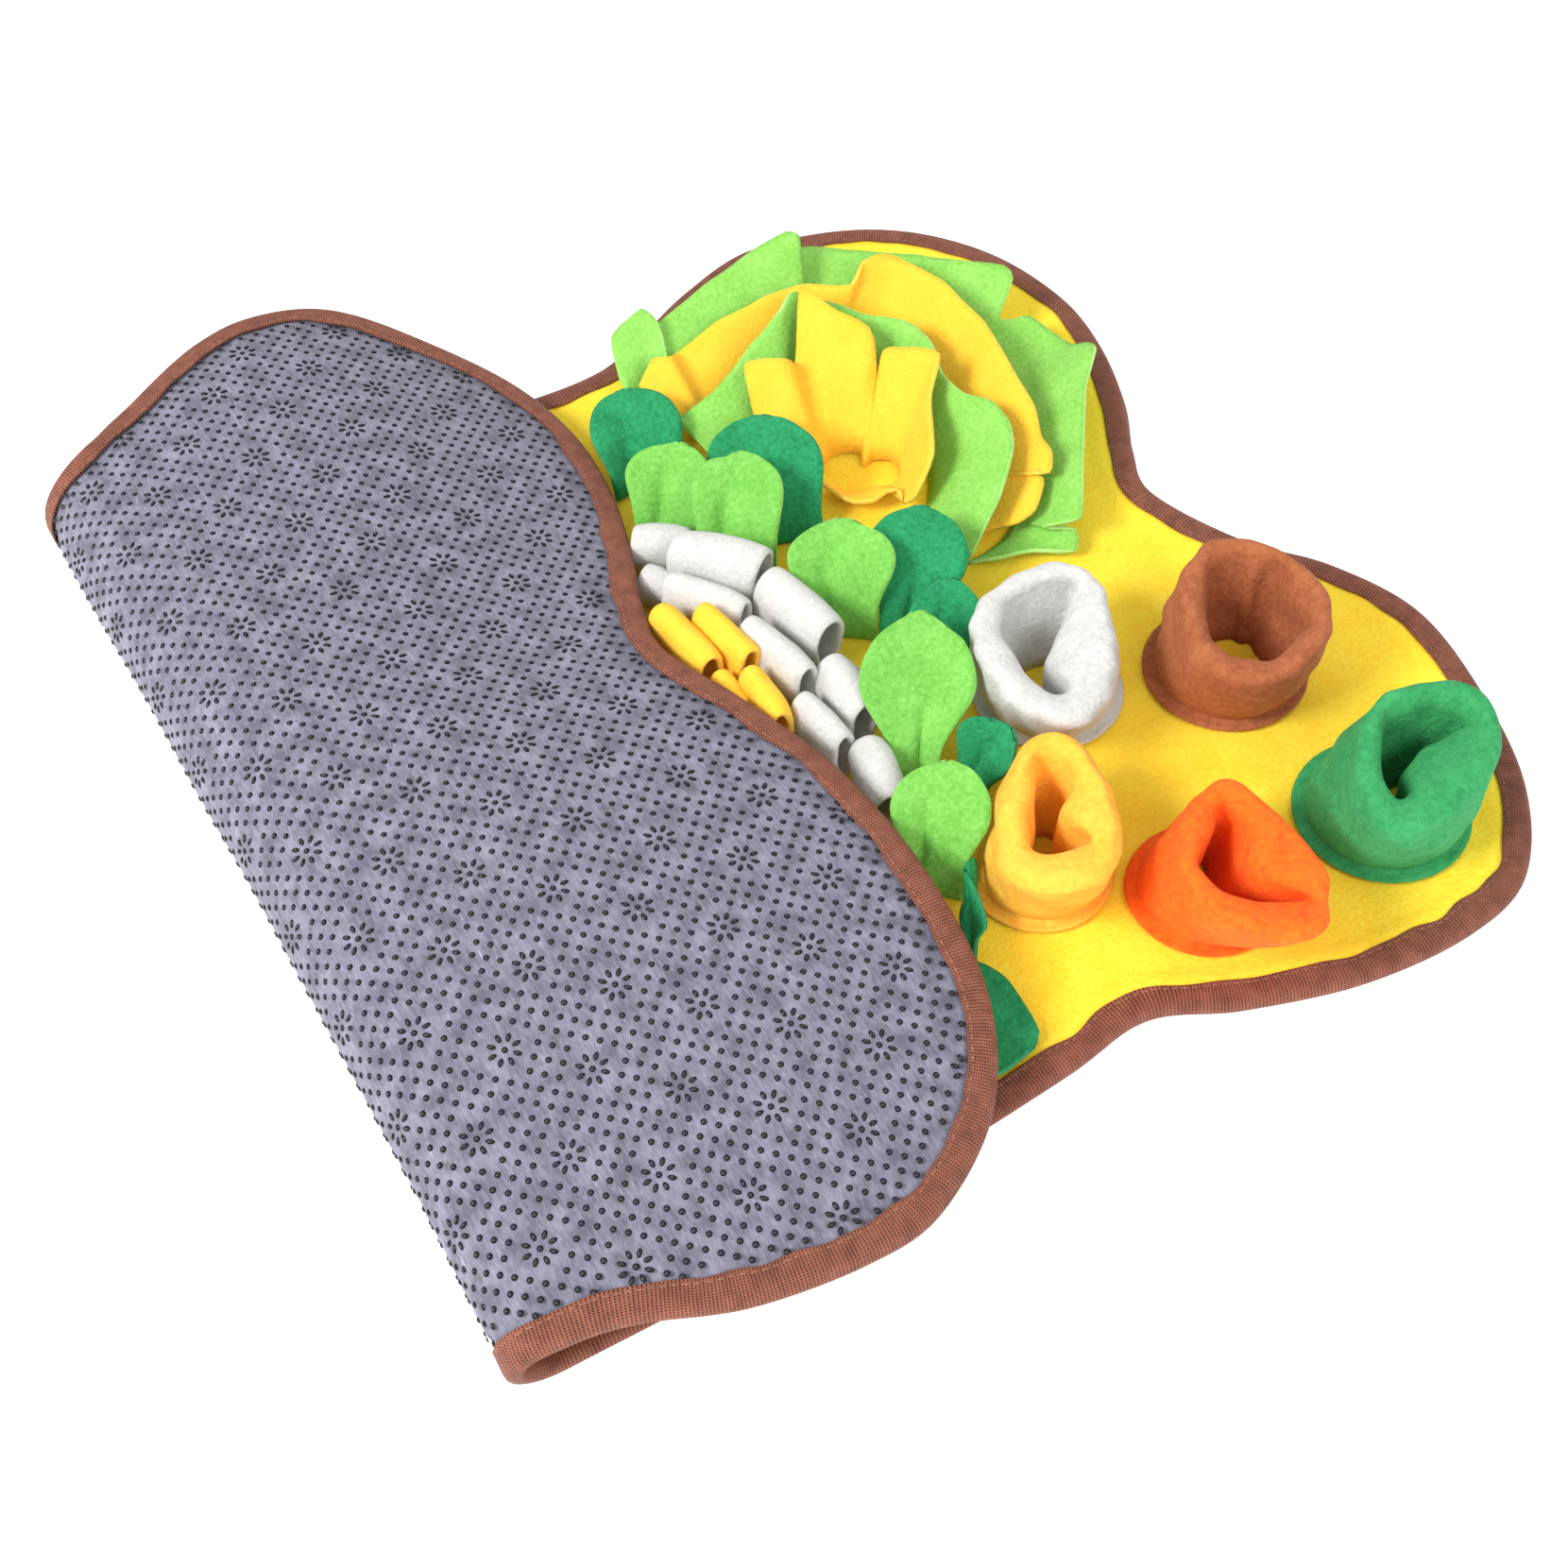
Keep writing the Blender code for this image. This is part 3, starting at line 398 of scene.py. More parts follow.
felt_colour = blend(tree, spread(tree, felt_height, 0.74, 0.84, top=0.6), felt_colour, FELT_FLECK)
tree.links.new(felt_colour, shader.inputs["Base Color"])
relief(tree, shader, felt_height, strength=0.6, depth=0.3)
set_shader(shader, {"Roughness": 0.95, "Sheen Weight": 0.1, "Sheen Roughness": 0.6})

felt_piece = folded_sheet("felt_sheet", DOT_HEIGHT, FELT + 0.1, felt_material)
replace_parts(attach(felt_piece, "root"), "felt_backing")


# ---- Anti-slip dots on the felt ----
# Small domes of glossy black rubber are printed on the felt's outer face. They stand in rows, and at
# each lattice point nine of them give way to a little flower of eight drops round one dot.

PRINT_PITCH = 27.5  # one flower to the next
PRINT_START = (-139.0, 6.5)  # flat place of one lattice point along s, and of the rows across it
DOTS_PER_PITCH = 6
DROP_RING = 0.147  # radius of a flower's ring of drops, in pitches
DOT_SIZE = 2.2  # diameter of a dot
DOT_TOP = 0.24  # radius of its flat crown, as a share of the diameter
DROP_SIZE = (3.1, 1.75)  # length and width of a drop
# the second colour is a painted highlight on each dot's flat crown
DOT_BLACK, DOT_CROWN_HIGHLIGHT = "#0C0C10", "#34343E"

lattice_range = range(-18, 19)
FLOWER_DROPS = 8
print_points = []  # lattice position, turn, length and width of each dot and drop
for i in lattice_range:
    for j in lattice_range:
        print_points.append((i, j, 0.0, DOT_SIZE, DOT_SIZE))
        for k in range(DOTS_PER_PITCH ** 2):
            u, v = k // DOTS_PER_PITCH - 2, k % DOTS_PER_PITCH - 2
            if max(abs(u), abs(v)) > 1:
                print_points.append((i + u / DOTS_PER_PITCH, j + v / DOTS_PER_PITCH, 0.0, DOT_SIZE, DOT_SIZE))
        for k in range(FLOWER_DROPS):
            turn = 2 * math.pi * k / FLOWER_DROPS
            drop_i, drop_j = i + DROP_RING * math.cos(turn), j + DROP_RING * math.sin(turn)
            print_points.append((drop_i, drop_j, turn, *DROP_SIZE))
print_points = np.array(print_points)
across = print_points[:, 0] - print_points[:, 1]
along = print_points[:, 0] + print_points[:, 1]
dot_flat = np.column_stack([PRINT_START[0] - PRINT_PITCH * across / math.sqrt(2),
                            PRINT_START[1] - PRINT_PITCH * (along / math.sqrt(2) + 5.75)])
shown_dots = edge_distance(dot_flat, outline) > TAPE_WIDTH + 0.4
print_points, dot_flat = print_points[shown_dots], dot_flat[shown_dots]


def copies_tree(name, inputs):
    """A Geometry Nodes tree with these inputs beside its geometry and material, and its input sockets."""
    tree = bpy.data.node_groups.new(name, "GeometryNodeTree")
    for socket_name, kind in (("Geometry", "Geometry"), *inputs, ("Material", "Material")):
        tree.interface.new_socket(socket_name, in_out="INPUT", socket_type=f"NodeSocket{kind}")
    tree.interface.new_socket("Geometry", in_out="OUTPUT", socket_type="NodeSocketGeometry")
    return tree, add_node(tree, "NodeGroupInput").outputs


def set_copies(tree, points, shape, turn, size, material):
    """End the tree with copies of a shape on the points, made real, smooth and of one material."""
    copies = add_node(tree, "GeometryNodeInstanceOnPoints", {
        "Points": points, "Instance": shape, "Rotation": turn, "Scale": size}).outputs[0]
    real = add_node(tree, "GeometryNodeRealizeInstances", {0: copies}).outputs[0]
    smooth = add_node(tree, "GeometryNodeSetShadeSmooth", {0: real, 2: True}).outputs[0]
    done = add_node(tree, "GeometryNodeSetMaterial", {0: smooth, 2: material}).outputs[0]
    add_node(tree, "NodeGroupOutput", {0: done})


dot_tree, dot_in = copies_tree("printed dots", (
    ("Dot height", "Float"), ("Sides", "Int"), ("Flat top", "Float")))
dome = add_node(dot_tree, "GeometryNodeMeshCone", {
    "Vertices": dot_in["Sides"], "Radius Top": dot_in["Flat top"], "Radius Bottom": 0.5,
    "Depth": dot_in["Dot height"]}, fill_type="NGON").outputs["Mesh"]
dome_normal = add_node(dot_tree, "GeometryNodeInputNormal").outputs[0]
dome_up = add_node(dot_tree, "ShaderNodeSeparateXYZ", {0: dome_normal}).outputs[2]
# mark the faces of the flat crown, where the material paints a highlight
on_crown = add_node(dot_tree, "FunctionNodeCompare", {0: dome_up, 1: 0.9},
                    data_type="FLOAT", operation="GREATER_THAN").outputs[0]
marked_dome = add_node(dot_tree, "GeometryNodeStoreNamedAttribute", {
    0: dome, "Name": "crown", "Value": on_crown}, data_type="FLOAT", domain="FACE").outputs[0]
faces_down = add_node(dot_tree, "FunctionNodeCompare", {0: dome_up, 1: -0.9},
                      data_type="FLOAT", operation="LESS_THAN").outputs[0]
open_dome = add_node(dot_tree, "GeometryNodeDeleteGeometry", {0: marked_dome, 1: faces_down},
                     domain="FACE").outputs[0]
dot_turn = add_node(dot_tree, "GeometryNodeInputNamedAttribute", {"Name": "turn"},
                    data_type="QUATERNION").outputs[0]
dot_scale = add_node(dot_tree, "GeometryNodeInputNamedAttribute", {"Name": "size"},
                     data_type="FLOAT_VECTOR").outputs[0]
set_copies(dot_tree, dot_in["Geometry"], open_dome, dot_turn, dot_scale, dot_in["Material"])

# Printed rubber: near-black and shiny. The flat crown of each dome is painted a greyer colour as a painted
# highlight.
dot_material, tree, shader = new_material("printed black rubber")
crown = add_node(tree, "ShaderNodeAttribute", attribute_name="crown").outputs["Fac"]
tree.links.new(blend(tree, crown, DOT_BLACK, DOT_CROWN_HIGHLIGHT), shader.inputs["Base Color"])
set_shader(shader, {"Roughness": 0.35, "Specular IOR Level": 0.2})


def run_nodes(obj, node_tree, values):
    """Put the mesh that a Geometry Nodes tree makes of the object's own in its place."""
    modifier = obj.modifiers.new("nodes", "NODES")
    modifier.node_group = node_tree
    for item in node_tree.interface.items_tree:
        if item.in_out == "INPUT" and item.name in values:
            modifier[item.identifier] = values[item.name]
    evaluated = obj.evaluated_get(bpy.context.evaluated_depsgraph_get())
    mesh = bpy.data.meshes.new_from_object(evaluated)
    obj.modifiers.clear()
    obj.data = mesh


def printed_dots(name, chosen, sides):
    """The chosen dots and drops, each a low dome that stands on the felt's outer face."""
    flat, rows = dot_flat[chosen], print_points[chosen]
    step = 0.5
    base = fold(flat, DOT_HEIGHT)
    along_s = fold(flat + (step, 0), 0.0) - fold(flat - (step, 0), 0.0)
    along_y = fold(flat + (0, step), 0.0) - fold(flat - (0, step), 0.0)
    out = -unit(np.cross(along_s, along_y))
    # the lattice's axes run at 45 degrees to s and y
    turn = rows[:, 2:3]
    flat_way = np.column_stack([-(np.cos(turn) - np.sin(turn)), -(np.cos(turn) + np.sin(turn))])
    way = flat_way[:, :1] * along_s + flat_way[:, 1:] * along_y
    way = unit(way - (way * out).sum(1)[:, None] * out)
    side = np.cross(out, way)
    mesh = bpy.data.meshes.new(name)
    mesh.from_pydata(place(base).tolist(), [], [])
    turns = [Matrix((w, s, o)).transposed().to_quaternion() for w, s, o in zip(way, side, out)]
    mesh.attributes.new("turn", "QUATERNION", "POINT").data.foreach_set("value", np.array(turns).ravel())
    sizes = np.column_stack([rows[:, 3], rows[:, 4], np.ones(len(rows))]) * MM
    mesh.attributes.new("size", "FLOAT_VECTOR", "POINT").data.foreach_set("vector", sizes.ravel())
    obj = bpy.data.objects.new(name, mesh)
    bpy.context.collection.objects.link(obj)
    run_nodes(obj, dot_tree, {
        "Dot height": DOT_HEIGHT, "Sides": sides, "Flat top": DOT_TOP, "Material": dot_material})
    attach(obj, "root")


on_flap = dot_flat[:, 0] < 0.0
printed_dots("dots_on_flap", on_flap, 8)
printed_dots("dots_under_near_half", ~on_flap & (dot_flat[:, 1] < 0.0), 6)
printed_dots("dots_under_far_half", ~on_flap & (dot_flat[:, 1] >= 0.0), 6)


# ---- Fleece panel ----
# One sheet of orange-yellow fleece of the same outline, on the inner side of the fold. Everything
# else on the mat is sewn to it.

STACK = FELT + PLY_GAP + FLEECE  # outer face of the felt to inner face of the fleece
FLEECE_ORANGE = ("#FFD024", "#FFE642")
TUFT = 3.2  # width of a tuft for each millimetre of pile


def fleece(name, low, high, pile=0.55):
    """Short brushed fleece: a matt nap of tiny tufts, lighter on their tips, with soft broad blotches."""
    material, tree, shader = new_material(name)
    place_on = add_node(tree, "ShaderNodeTexCoord").outputs["Object"]
    tufts = noise(tree, place_on, TUFT * pile, Detail=4.0, Roughness=0.65, Distortion=0.3)
    tone = calculate(tree, "MULTIPLY_ADD", noise(tree, place_on, 14.0, Detail=2.0), 0.45, tufts)
    tree.links.new(blend(tree, spread(tree, tone, 0.52, 0.92), low, high), shader.inputs["Base Color"])
    relief(tree, shader, tufts, strength=0.9, depth=1.3 * pile)
    set_shader(shader, {"Roughness": 0.95, "Sheen Weight": 0.12, "Sheen Roughness": 0.5,
                        "Sheen Tint": linear(high)})
    return material


fleece_piece = folded_sheet("fleece_sheet", FELT + PLY_GAP, STACK, fleece("orange fleece", *FLEECE_ORANGE))
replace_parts(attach(fleece_piece, "root"), "fleece_panel")


# ---- Binding ----
# A ribbed tape of brown polyester, woven with its ribs across, folded over the edge of both sheets
# and sewn through near its inner edge. It wavers a little in width.

TAPE_RIB = 1.15  # one rib of the weave to the next
TAPE_THREAD = 0.8  # one lengthwise thread to the next
TAPE_BEND = 5.6  # distance from the edge where the tape begins to bend round it
TAPE_WAVER = 0.8  # how far the inner edge strays
# the tape's brown, from painted shade between the ribs to painted highlight on them
TAPE_BROWN_SHADE_TO_HIGHLIGHT = ("#36140B", "#CF8066")
STITCH_LENGTH, STITCH_PITCH, STITCH_THICK = 2.6, 3.3, 0.55
STITCH_INSET = 8.3
THREAD_TANS = ("#623A2A", "#B07C62")


def ripples(points, length, seed):
    """Soft random unevenness from about -1 to 1, with waves about length millimetres long."""
    draw = np.random.default_rng(seed)
    ways = draw.normal(size=(7, 3))
    ways *= (2 * math.pi / length * draw.uniform(0.6, 1.5, 7) / np.linalg.norm(ways, axis=1))[:, None]
    points = np.asarray(points, float).reshape(-1, 3)
    return np.sin(points @ ways.T + draw.uniform(0, 2 * math.pi, 7)).mean(axis=1) * 2.0


tape_face = EDGE_DIP + STACK + TAPE_GAP + TAPE  # offset of the tape's face on the fleece side
tape_round = 0.5 * tape_face
edge_turn = np.radians(np.arange(-90.0, 91.0, 22.5))
# its rows are (distance from the edge, offset); the face dips along the row of stitches
tape_section = [(TAPE_WIDTH, 0.45), (TAPE_WIDTH - 0.35, 0.0), (STITCH_INSET + 0.9, 0.0),
                (STITCH_INSET, 0.2), (STITCH_INSET - 0.9, 0.0), (TAPE_BEND, 0.0)]
tape_section += [(tape_round * (1 - math.cos(a)), tape_round * (1 + math.sin(a))) for a in edge_turn]
tape_section += [(TAPE_BEND, tape_face + 0.15), (STITCH_INSET - 0.9, tape_face),
                 (STITCH_INSET, tape_face - 0.35), (STITCH_INSET + 0.9, tape_face - 0.1),
                 (TAPE_WIDTH - 0.35, tape_face - 0.2), (TAPE_WIDTH, tape_face - 0.6)]
inner_round = tape_round - TAPE
tape_section += [(TAPE_WIDTH - 0.2, tape_face - TAPE)]
tape_section += [(tape_round - inner_round * math.cos(a), tape_round + inner_round * math.sin(a))
                 for a in edge_turn[::-2]]
tape_section += [(TAPE_WIDTH - 0.2, TAPE)]

tape_path = smooth_curve(OUTLINE, 2.0, closed=True)
tape_along = lengths_along(np.vstack([tape_path, tape_path[:1]]))
waver = TAPE_WAVER * ripples(np.column_stack([tape_path, np.zeros(len(tape_path))]), 24.0, 3)
section_across = lengths_along(tape_section)
tape_rings, tape_uv = [], []
for (distance, offset), across_here in zip(tape_section, section_across):
    stray = waver * (distance / TAPE_WIDTH) ** 2
    tape_rings.append(fold(inset(tape_path, distance + stray), offset))
    tape_uv.append(np.column_stack([tape_along, np.full(len(tape_along), across_here)]))
rings, sides = len(tape_path), len(tape_section)
tape_verts = np.array(tape_rings).transpose(1, 0, 2).reshape(-1, 3)
tape_faces, tape_face_uv = [], []
for i in range(rings):
    for k in range(sides):
        n, m = (i + 1) % rings, (k + 1) % sides
        tape_faces.append((i * sides + k, n * sides + k, n * sides + m, i * sides + m))
        m_uv = m if m else k
        tape_face_uv += [tape_uv[k][i], tape_uv[k][i + 1], tape_uv[m_uv][i + 1], tape_uv[m_uv][i]]

# Woven polyester tape: a brown that varies in soft clouds, with ribs across it split by the threads along it.
# The ribs are painted lighter on their tops as painted highlights and darker between them as painted shade.
tape_material, tree, shader = new_material("ribbed woven tape")
tape_uv_node = add_node(tree, "ShaderNodeUVMap", uv_map="flat").outputs[0]
tape_coords = add_node(tree, "ShaderNodeSeparateXYZ", {0: tape_uv_node}).outputs
tape_waves = []
for axis_name, pitch in (("X", TAPE_RIB), ("Y", TAPE_THREAD)):
    phase = calculate(tree, "MULTIPLY", tape_coords[axis_name], 2 * math.pi / (pitch * MM))
    tape_waves.append(calculate(tree, "SINE", phase))
crossing = calculate(tree, "MULTIPLY", *tape_waves)
tape_height = calculate(tree, "MULTIPLY_ADD", tape_waves[0], 0.6, crossing)
tape_cloud = noise(tree, add_node(tree, "ShaderNodeTexCoord").outputs["Object"], 5.0, Detail=4.0)
# a real cloudy brown plus the rib height, which paints highlights on the ribs and shade between them
tape_cloud_and_rib_shading = calculate(tree, "MULTIPLY_ADD", tape_cloud, 1.2, tape_height)
tree.links.new(blend(tree, spread(tree, tape_cloud_and_rib_shading, -0.1, 1.3), *TAPE_BROWN_SHADE_TO_HIGHLIGHT), shader.inputs["Base Color"])
relief(tree, shader, tape_height, strength=1.0, depth=0.4)
set_shader(shader, {"Roughness": 0.6, "Specular IOR Level": 0.3})

tape_piece = make_object("binding_tape", tape_verts, tape_faces, [tape_material])
tape_piece.data.uv_layers.new(name="flat").data.foreach_set("uv", (np.array(tape_face_uv) * MM).ravel())
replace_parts(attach(tape_piece, "root"), "binding")

stitch_tree, stitch_in = copies_tree("row of stitches", (
    ("Pitch", "Float"), ("Length", "Float"), ("Thickness", "Float")))
seam_line = add_node(stitch_tree, "GeometryNodeMeshToCurve", {0: stitch_in["Geometry"]}).outputs[0]
seam_points = add_node(stitch_tree, "GeometryNodeResampleCurve", {
    "Curve": seam_line, "Length": stitch_in["Pitch"]}, mode="LENGTH").outputs[0]
seam_way = add_node(stitch_tree, "GeometryNodeInputTangent").outputs[0]
seam_turn = add_node(stitch_tree, "FunctionNodeAlignRotationToVector", {"Vector": seam_way},
                     axis="Z").outputs[0]
thread = add_node(stitch_tree, "GeometryNodeMeshUVSphere", {
    "Segments": 6, "Rings": 4, "Radius": 0.5}).outputs["Mesh"]
thread_size = add_node(stitch_tree, "ShaderNodeCombineXYZ", {
    0: stitch_in["Thickness"], 1: stitch_in["Thickness"], 2: stitch_in["Length"]}).outputs[0]
set_copies(stitch_tree, seam_points, thread, seam_turn, thread_size, stitch_in["Material"])

# Spun polyester thread, a tan lighter than the tape.
thread_material, tree, shader = new_material("tan sewing thread")
thread_grain = noise(tree, add_node(tree, "ShaderNodeTexCoord").outputs["Object"], 0.4)
tree.links.new(blend(tree, spread(tree, thread_grain, 0.35, 0.65), *THREAD_TANS), shader.inputs["Base Color"])
set_shader(shader, {"Roughness": 0.6})

for seam_name, seam_offset in (("stitches_on_felt_side", 0.2), ("stitches_on_fleece_side", tape_face - 0.2)):
    seam = fold(inset(tape_path, STITCH_INSET + waver * (STITCH_INSET / TAPE_WIDTH) ** 2), seam_offset)
    mesh = bpy.data.meshes.new(seam_name)
    mesh.from_pydata(place(seam).tolist(), [(i, (i + 1) % len(seam)) for i in range(len(seam))], [])
    stitches = bpy.data.objects.new(seam_name, mesh)
    bpy.context.collection.objects.link(stitches)
    run_nodes(stitches, stitch_tree, {"Pitch": STITCH_PITCH * MM, "Length": STITCH_LENGTH * MM,
                                      "Thickness": STITCH_THICK * MM, "Material": thread_material})
    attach(stitches, "root")


# ---- Daisy petals ----
# Half of a large daisy shows: a ring of dark-green petals behind a ring of light-green ones. Each is
# a tongue of fleece with a round head, sewn down at its narrow neck, that stands up and leans out.

TOP = STACK + PLY_GAP  # height of the foot of what stands on the fleece
PATCH = 1.6  # thickness of the fleece pieces
PETALS_DARK = (
    # root_x, root_y, tip_x, tip_y, tip_z, width, twist, neck, cup, crease
    (190, 98, 200, 134, 26, 36, 0, 0.8, 4.0, 0.3),
    (215, 46, 231, 84, 33, 44, 0, 0.85, 4.5, 0.2),
    (230, -23, 256, 7, 34, 38, 0, 0.6, 4.0, -0.1),
    (228, -45, 245, -23, 29, 26, 10, 0.7, 5.0, 0.1),
    (207, -93, 224, -92, 30, 25, 0, 0.6, 5.0, 0.2),
    (171, -145, 181, -128, 22, 22, 90, 0.4, 4.0, 0.0),
    (132, -151, 166, -184, 9, 49, 0, 0.7, 4.0, 0.0),
    (118, 106, 135, 140, 17, 40, 0, 0.6, 4.0, 0.0),
    (72, 108, 72, 150, 22, 40, 0, 0.6, 4.0, 0.0),
    (84, -128, 90, -166, 15, 38, 0, 0.6, 4.0, 0.0),
    (38, -124, 26, -160, 14, 38, 0, 0.6, 4.0, 0.0),
)
PETALS_LIGHT = (
    (181, 67, 197, 86, 36, 34, 0, 0.8, 4.0, 0.2),
    (195, 40, 213, 65, 39, 34, 0, 0.85, 3.5, 0.3),
    (210, -7, 227, 15, 38, 39, 0, 0.7, 4.5, 0.3),
    (192, -82, 222, -40, 40, 40, 0, 0.4, 5.0, -0.25),
    (173, -119, 195, -98, 38, 33, 0, 0.65, 4.0, 0.3),
    (126, 80, 140, 104, 15, 32, 0, 0.6, 4.0, 0.0),
    (84, 90, 88, 122, 22, 34, 0, 0.6, 4.0, 0.0),
    (118, -108, 132, -134, 18, 34, 0, 0.6, 4.0, 0.0),
    (62, -108, 60, -136, 18, 34, 0, 0.6, 4.0, 0.0),
)
HEAD_FROM, HEAD_LONG = 0.65, 0.36  # start and length of the round head, as shares of the petal's length
PETAL_ACROSS = 17  # points across a petal
CREASE_DEEP, CREASE_WIDE, CREASE_LONG = 6.0, 0.17, 1.05
PETAL_WAVE = 1.2  # how far the cloth of a petal waves out of its plane
DARK_GREENS = ("#0A7644", "#279C62")
LIGHT_GREENS = ("#62AC3C", "#84CA5C")
ROSETTE_LIMES = ("#79BF44", "#99D768")


def cloth_patch(name, node, grid, thickness, materials,
                wrap=False, rounded=False, side=0.0):
    """A piece of fleece from rows of points, with its thickness and its cut edge, in place of its part."""
    grid = np.array(grid, float)
    rows, cols = grid.shape[:2]
    verts = grid.reshape(-1, 3)
    uv = np.column_stack([np.repeat(np.arange(rows), cols), np.tile(np.arange(cols), rows)]) * 2.0
    faces = [(i * cols + k, i * cols + k + 1, (i + 1) % rows * cols + k + 1, (i + 1) % rows * cols + k)
             for i in range(rows if wrap else rows - 1) for k in range(cols - 1)]
    obj = make_object(name, verts, faces, materials, uv)
    solid = obj.modifiers.new("thickness", "SOLIDIFY")
    solid.thickness = thickness * MM
    solid.offset = side
    solid.material_offset_rim = len(materials) - 1
    if rounded:
        soft = obj.modifiers.new("soft edges", "SUBSURF")
        soft.levels = soft.render_levels = 1
    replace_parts(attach(obj, "root"), node)


def petal(number, row, ring, node, materials):
    """One petal: its middle line leans from root to tip, and its sides cup forwards round a groove."""
    root_x, root_y, tip_x, tip_y, tip_z, width, twist, neck, cupping, crease = row
    root, tip = np.array([root_x, root_y], float), np.array([tip_x, tip_y], float)
    way = (tip - root) / np.linalg.norm(tip - root)
    turn = math.radians(twist)
    facing = np.array([way[0] * math.cos(turn) - way[1] * math.sin(turn),
                       way[0] * math.sin(turn) + way[1] * math.cos(turn)])
    side = np.array([-facing[1], facing[0]])
    foot = TOP + 0.5 * PATCH
    stalk = np.linspace(0.0, HEAD_FROM, 15)[:-1]
    head = HEAD_FROM + HEAD_LONG * np.sin(np.linspace(0.0, math.radians(83), 15))
    draw = np.random.default_rng(40 + number + len(ring))
    lift, curl = draw.uniform(-0.8, 0.8, 2)
    grid = []
    for t in np.concatenate([stalk, head]):
        middle = root + (tip - root) * t ** 1.35
        height = foot + (tip_z - foot) * math.sin(min(t, 1.0) * math.pi / 2)
        rise = min(max((t - 0.2) / 0.45, 0.0), 1.0)
        share = neck + (1.0 - neck) * rise * rise * (3 - 2 * rise)
        share *= math.sqrt(max(0.0, 1.0 - (max(0.0, t - HEAD_FROM) / HEAD_LONG) ** 2))
        points = []
        for w in np.linspace(-1.0, 1.0, PETAL_ACROSS):
            cup = cupping * w * w * share * min(1.0, 0.35 + t) * (1 + 0.25 * curl * w)
            off_crease = (w - 0.25 + 0.5 * t - crease) / CREASE_WIDE
            groove = CREASE_DEEP * math.exp(-off_crease ** 2)
            groove *= min(1.0, 0.4 + 2 * t) * max(0.0, 1.0 - t / CREASE_LONG)
            plan = middle + 0.5 * width * share * w * side - (cup - groove) * facing
            points.append((plan[0], plan[1], height + 0.35 * cup + lift * w * share * t))
        grid.append(points)
    grid = np.array(grid)
    fading = np.linspace(0, 1, len(grid))[:, None]
    waves = PETAL_WAVE * ripples(grid, 20.0, 140 + number).reshape(grid.shape[:2]) * fading
    grid[:, :, 2] += 0.35 * ripples(grid, 16.0, 60 + number).reshape(grid.shape[:2]) * fading
    grid[:, :, :2] += waves[:, :, None] * facing
    cloth_patch(f"{ring}_petal_{number}", node, grid, PATCH, materials)


def petals(table, ring, fleece_name, colours, edge_colours):
    """All petals of one ring, of a fleece whose cut edge is a little paler."""
    materials = [fleece(fleece_name, *colours), fleece(f"{fleece_name}, cut edge", *edge_colours)]
    for number, petal_row in enumerate(table, 1):
        petal(number, petal_row, ring, f"petal_{ring}_{number}", materials)


petals(PETALS_DARK, "dark", "dark green fleece", DARK_GREENS, ("#168456", "#38A672"))
petals(PETALS_LIGHT, "light", "light green fleece", LIGHT_GREENS, ("#7CC252", "#A0DA78"))


# ---- Daisy loops ----
# White and yellow strips of thick fleece are bent double and sewn down by both ends, so that each
# stands as a soft loop, open at its two sides.

LOOP_CLOTH = 3.0  # thickness of the loops' fleece
LOOP_PUFF, LOOP_SPREAD = 1.35, 1.1  # how much deeper and wider a soft loop bulges than its table row
LOOP_ROUND, LOOP_ACROSS = 36, 9  # points round a loop and across its strip
LOOPS_WHITE = (
    # foot_x, foot_y, facing, width, height, depth, lean, bow
    (173, 59, 50, 20, 25, 12, 2, 0),
    (183, 33, 30, 32, 34, 16, 5, 7),
    (192, -4, 10, 32, 35, 14, 4, 1),
    (187, -43, -6, 24, 32, 12, 4, 1),
    (177, -77, -19, 25, 28, 12, 4, 2),
    (142, -92, -36, 26, 20, 12, 2, 0),
    (162, 44, 28, 12, 22, 9, 2, 0),
    (170, 21, 31, 30, 31, 10, 2, 2),
    (176, -17, 8, 30, 34, 10, 2, 1),
    (173, -51, 6, 23, 31, 9, 2, 1),
    (152, -62, -24, 24, 25, 12, 1, 0),
)
LOOPS_YELLOW = (
    (154, 7, 0, 30, 33, 10, 0, 1),
    (165, -1, 4, 27, 35, 8, 1, 0),
    (163, -32, -9, 23, 33, 9, 0, 0),
    (155, -21, 2, 16, 29, 8, 0, 0),
    (126, -4, 0, 26, 24, 11, 0, 0),
)
WHITES = ("#C0BFBB", "#D4D3D0")
YELLOWS = ("#FFBF2C", "#FFCE3E")


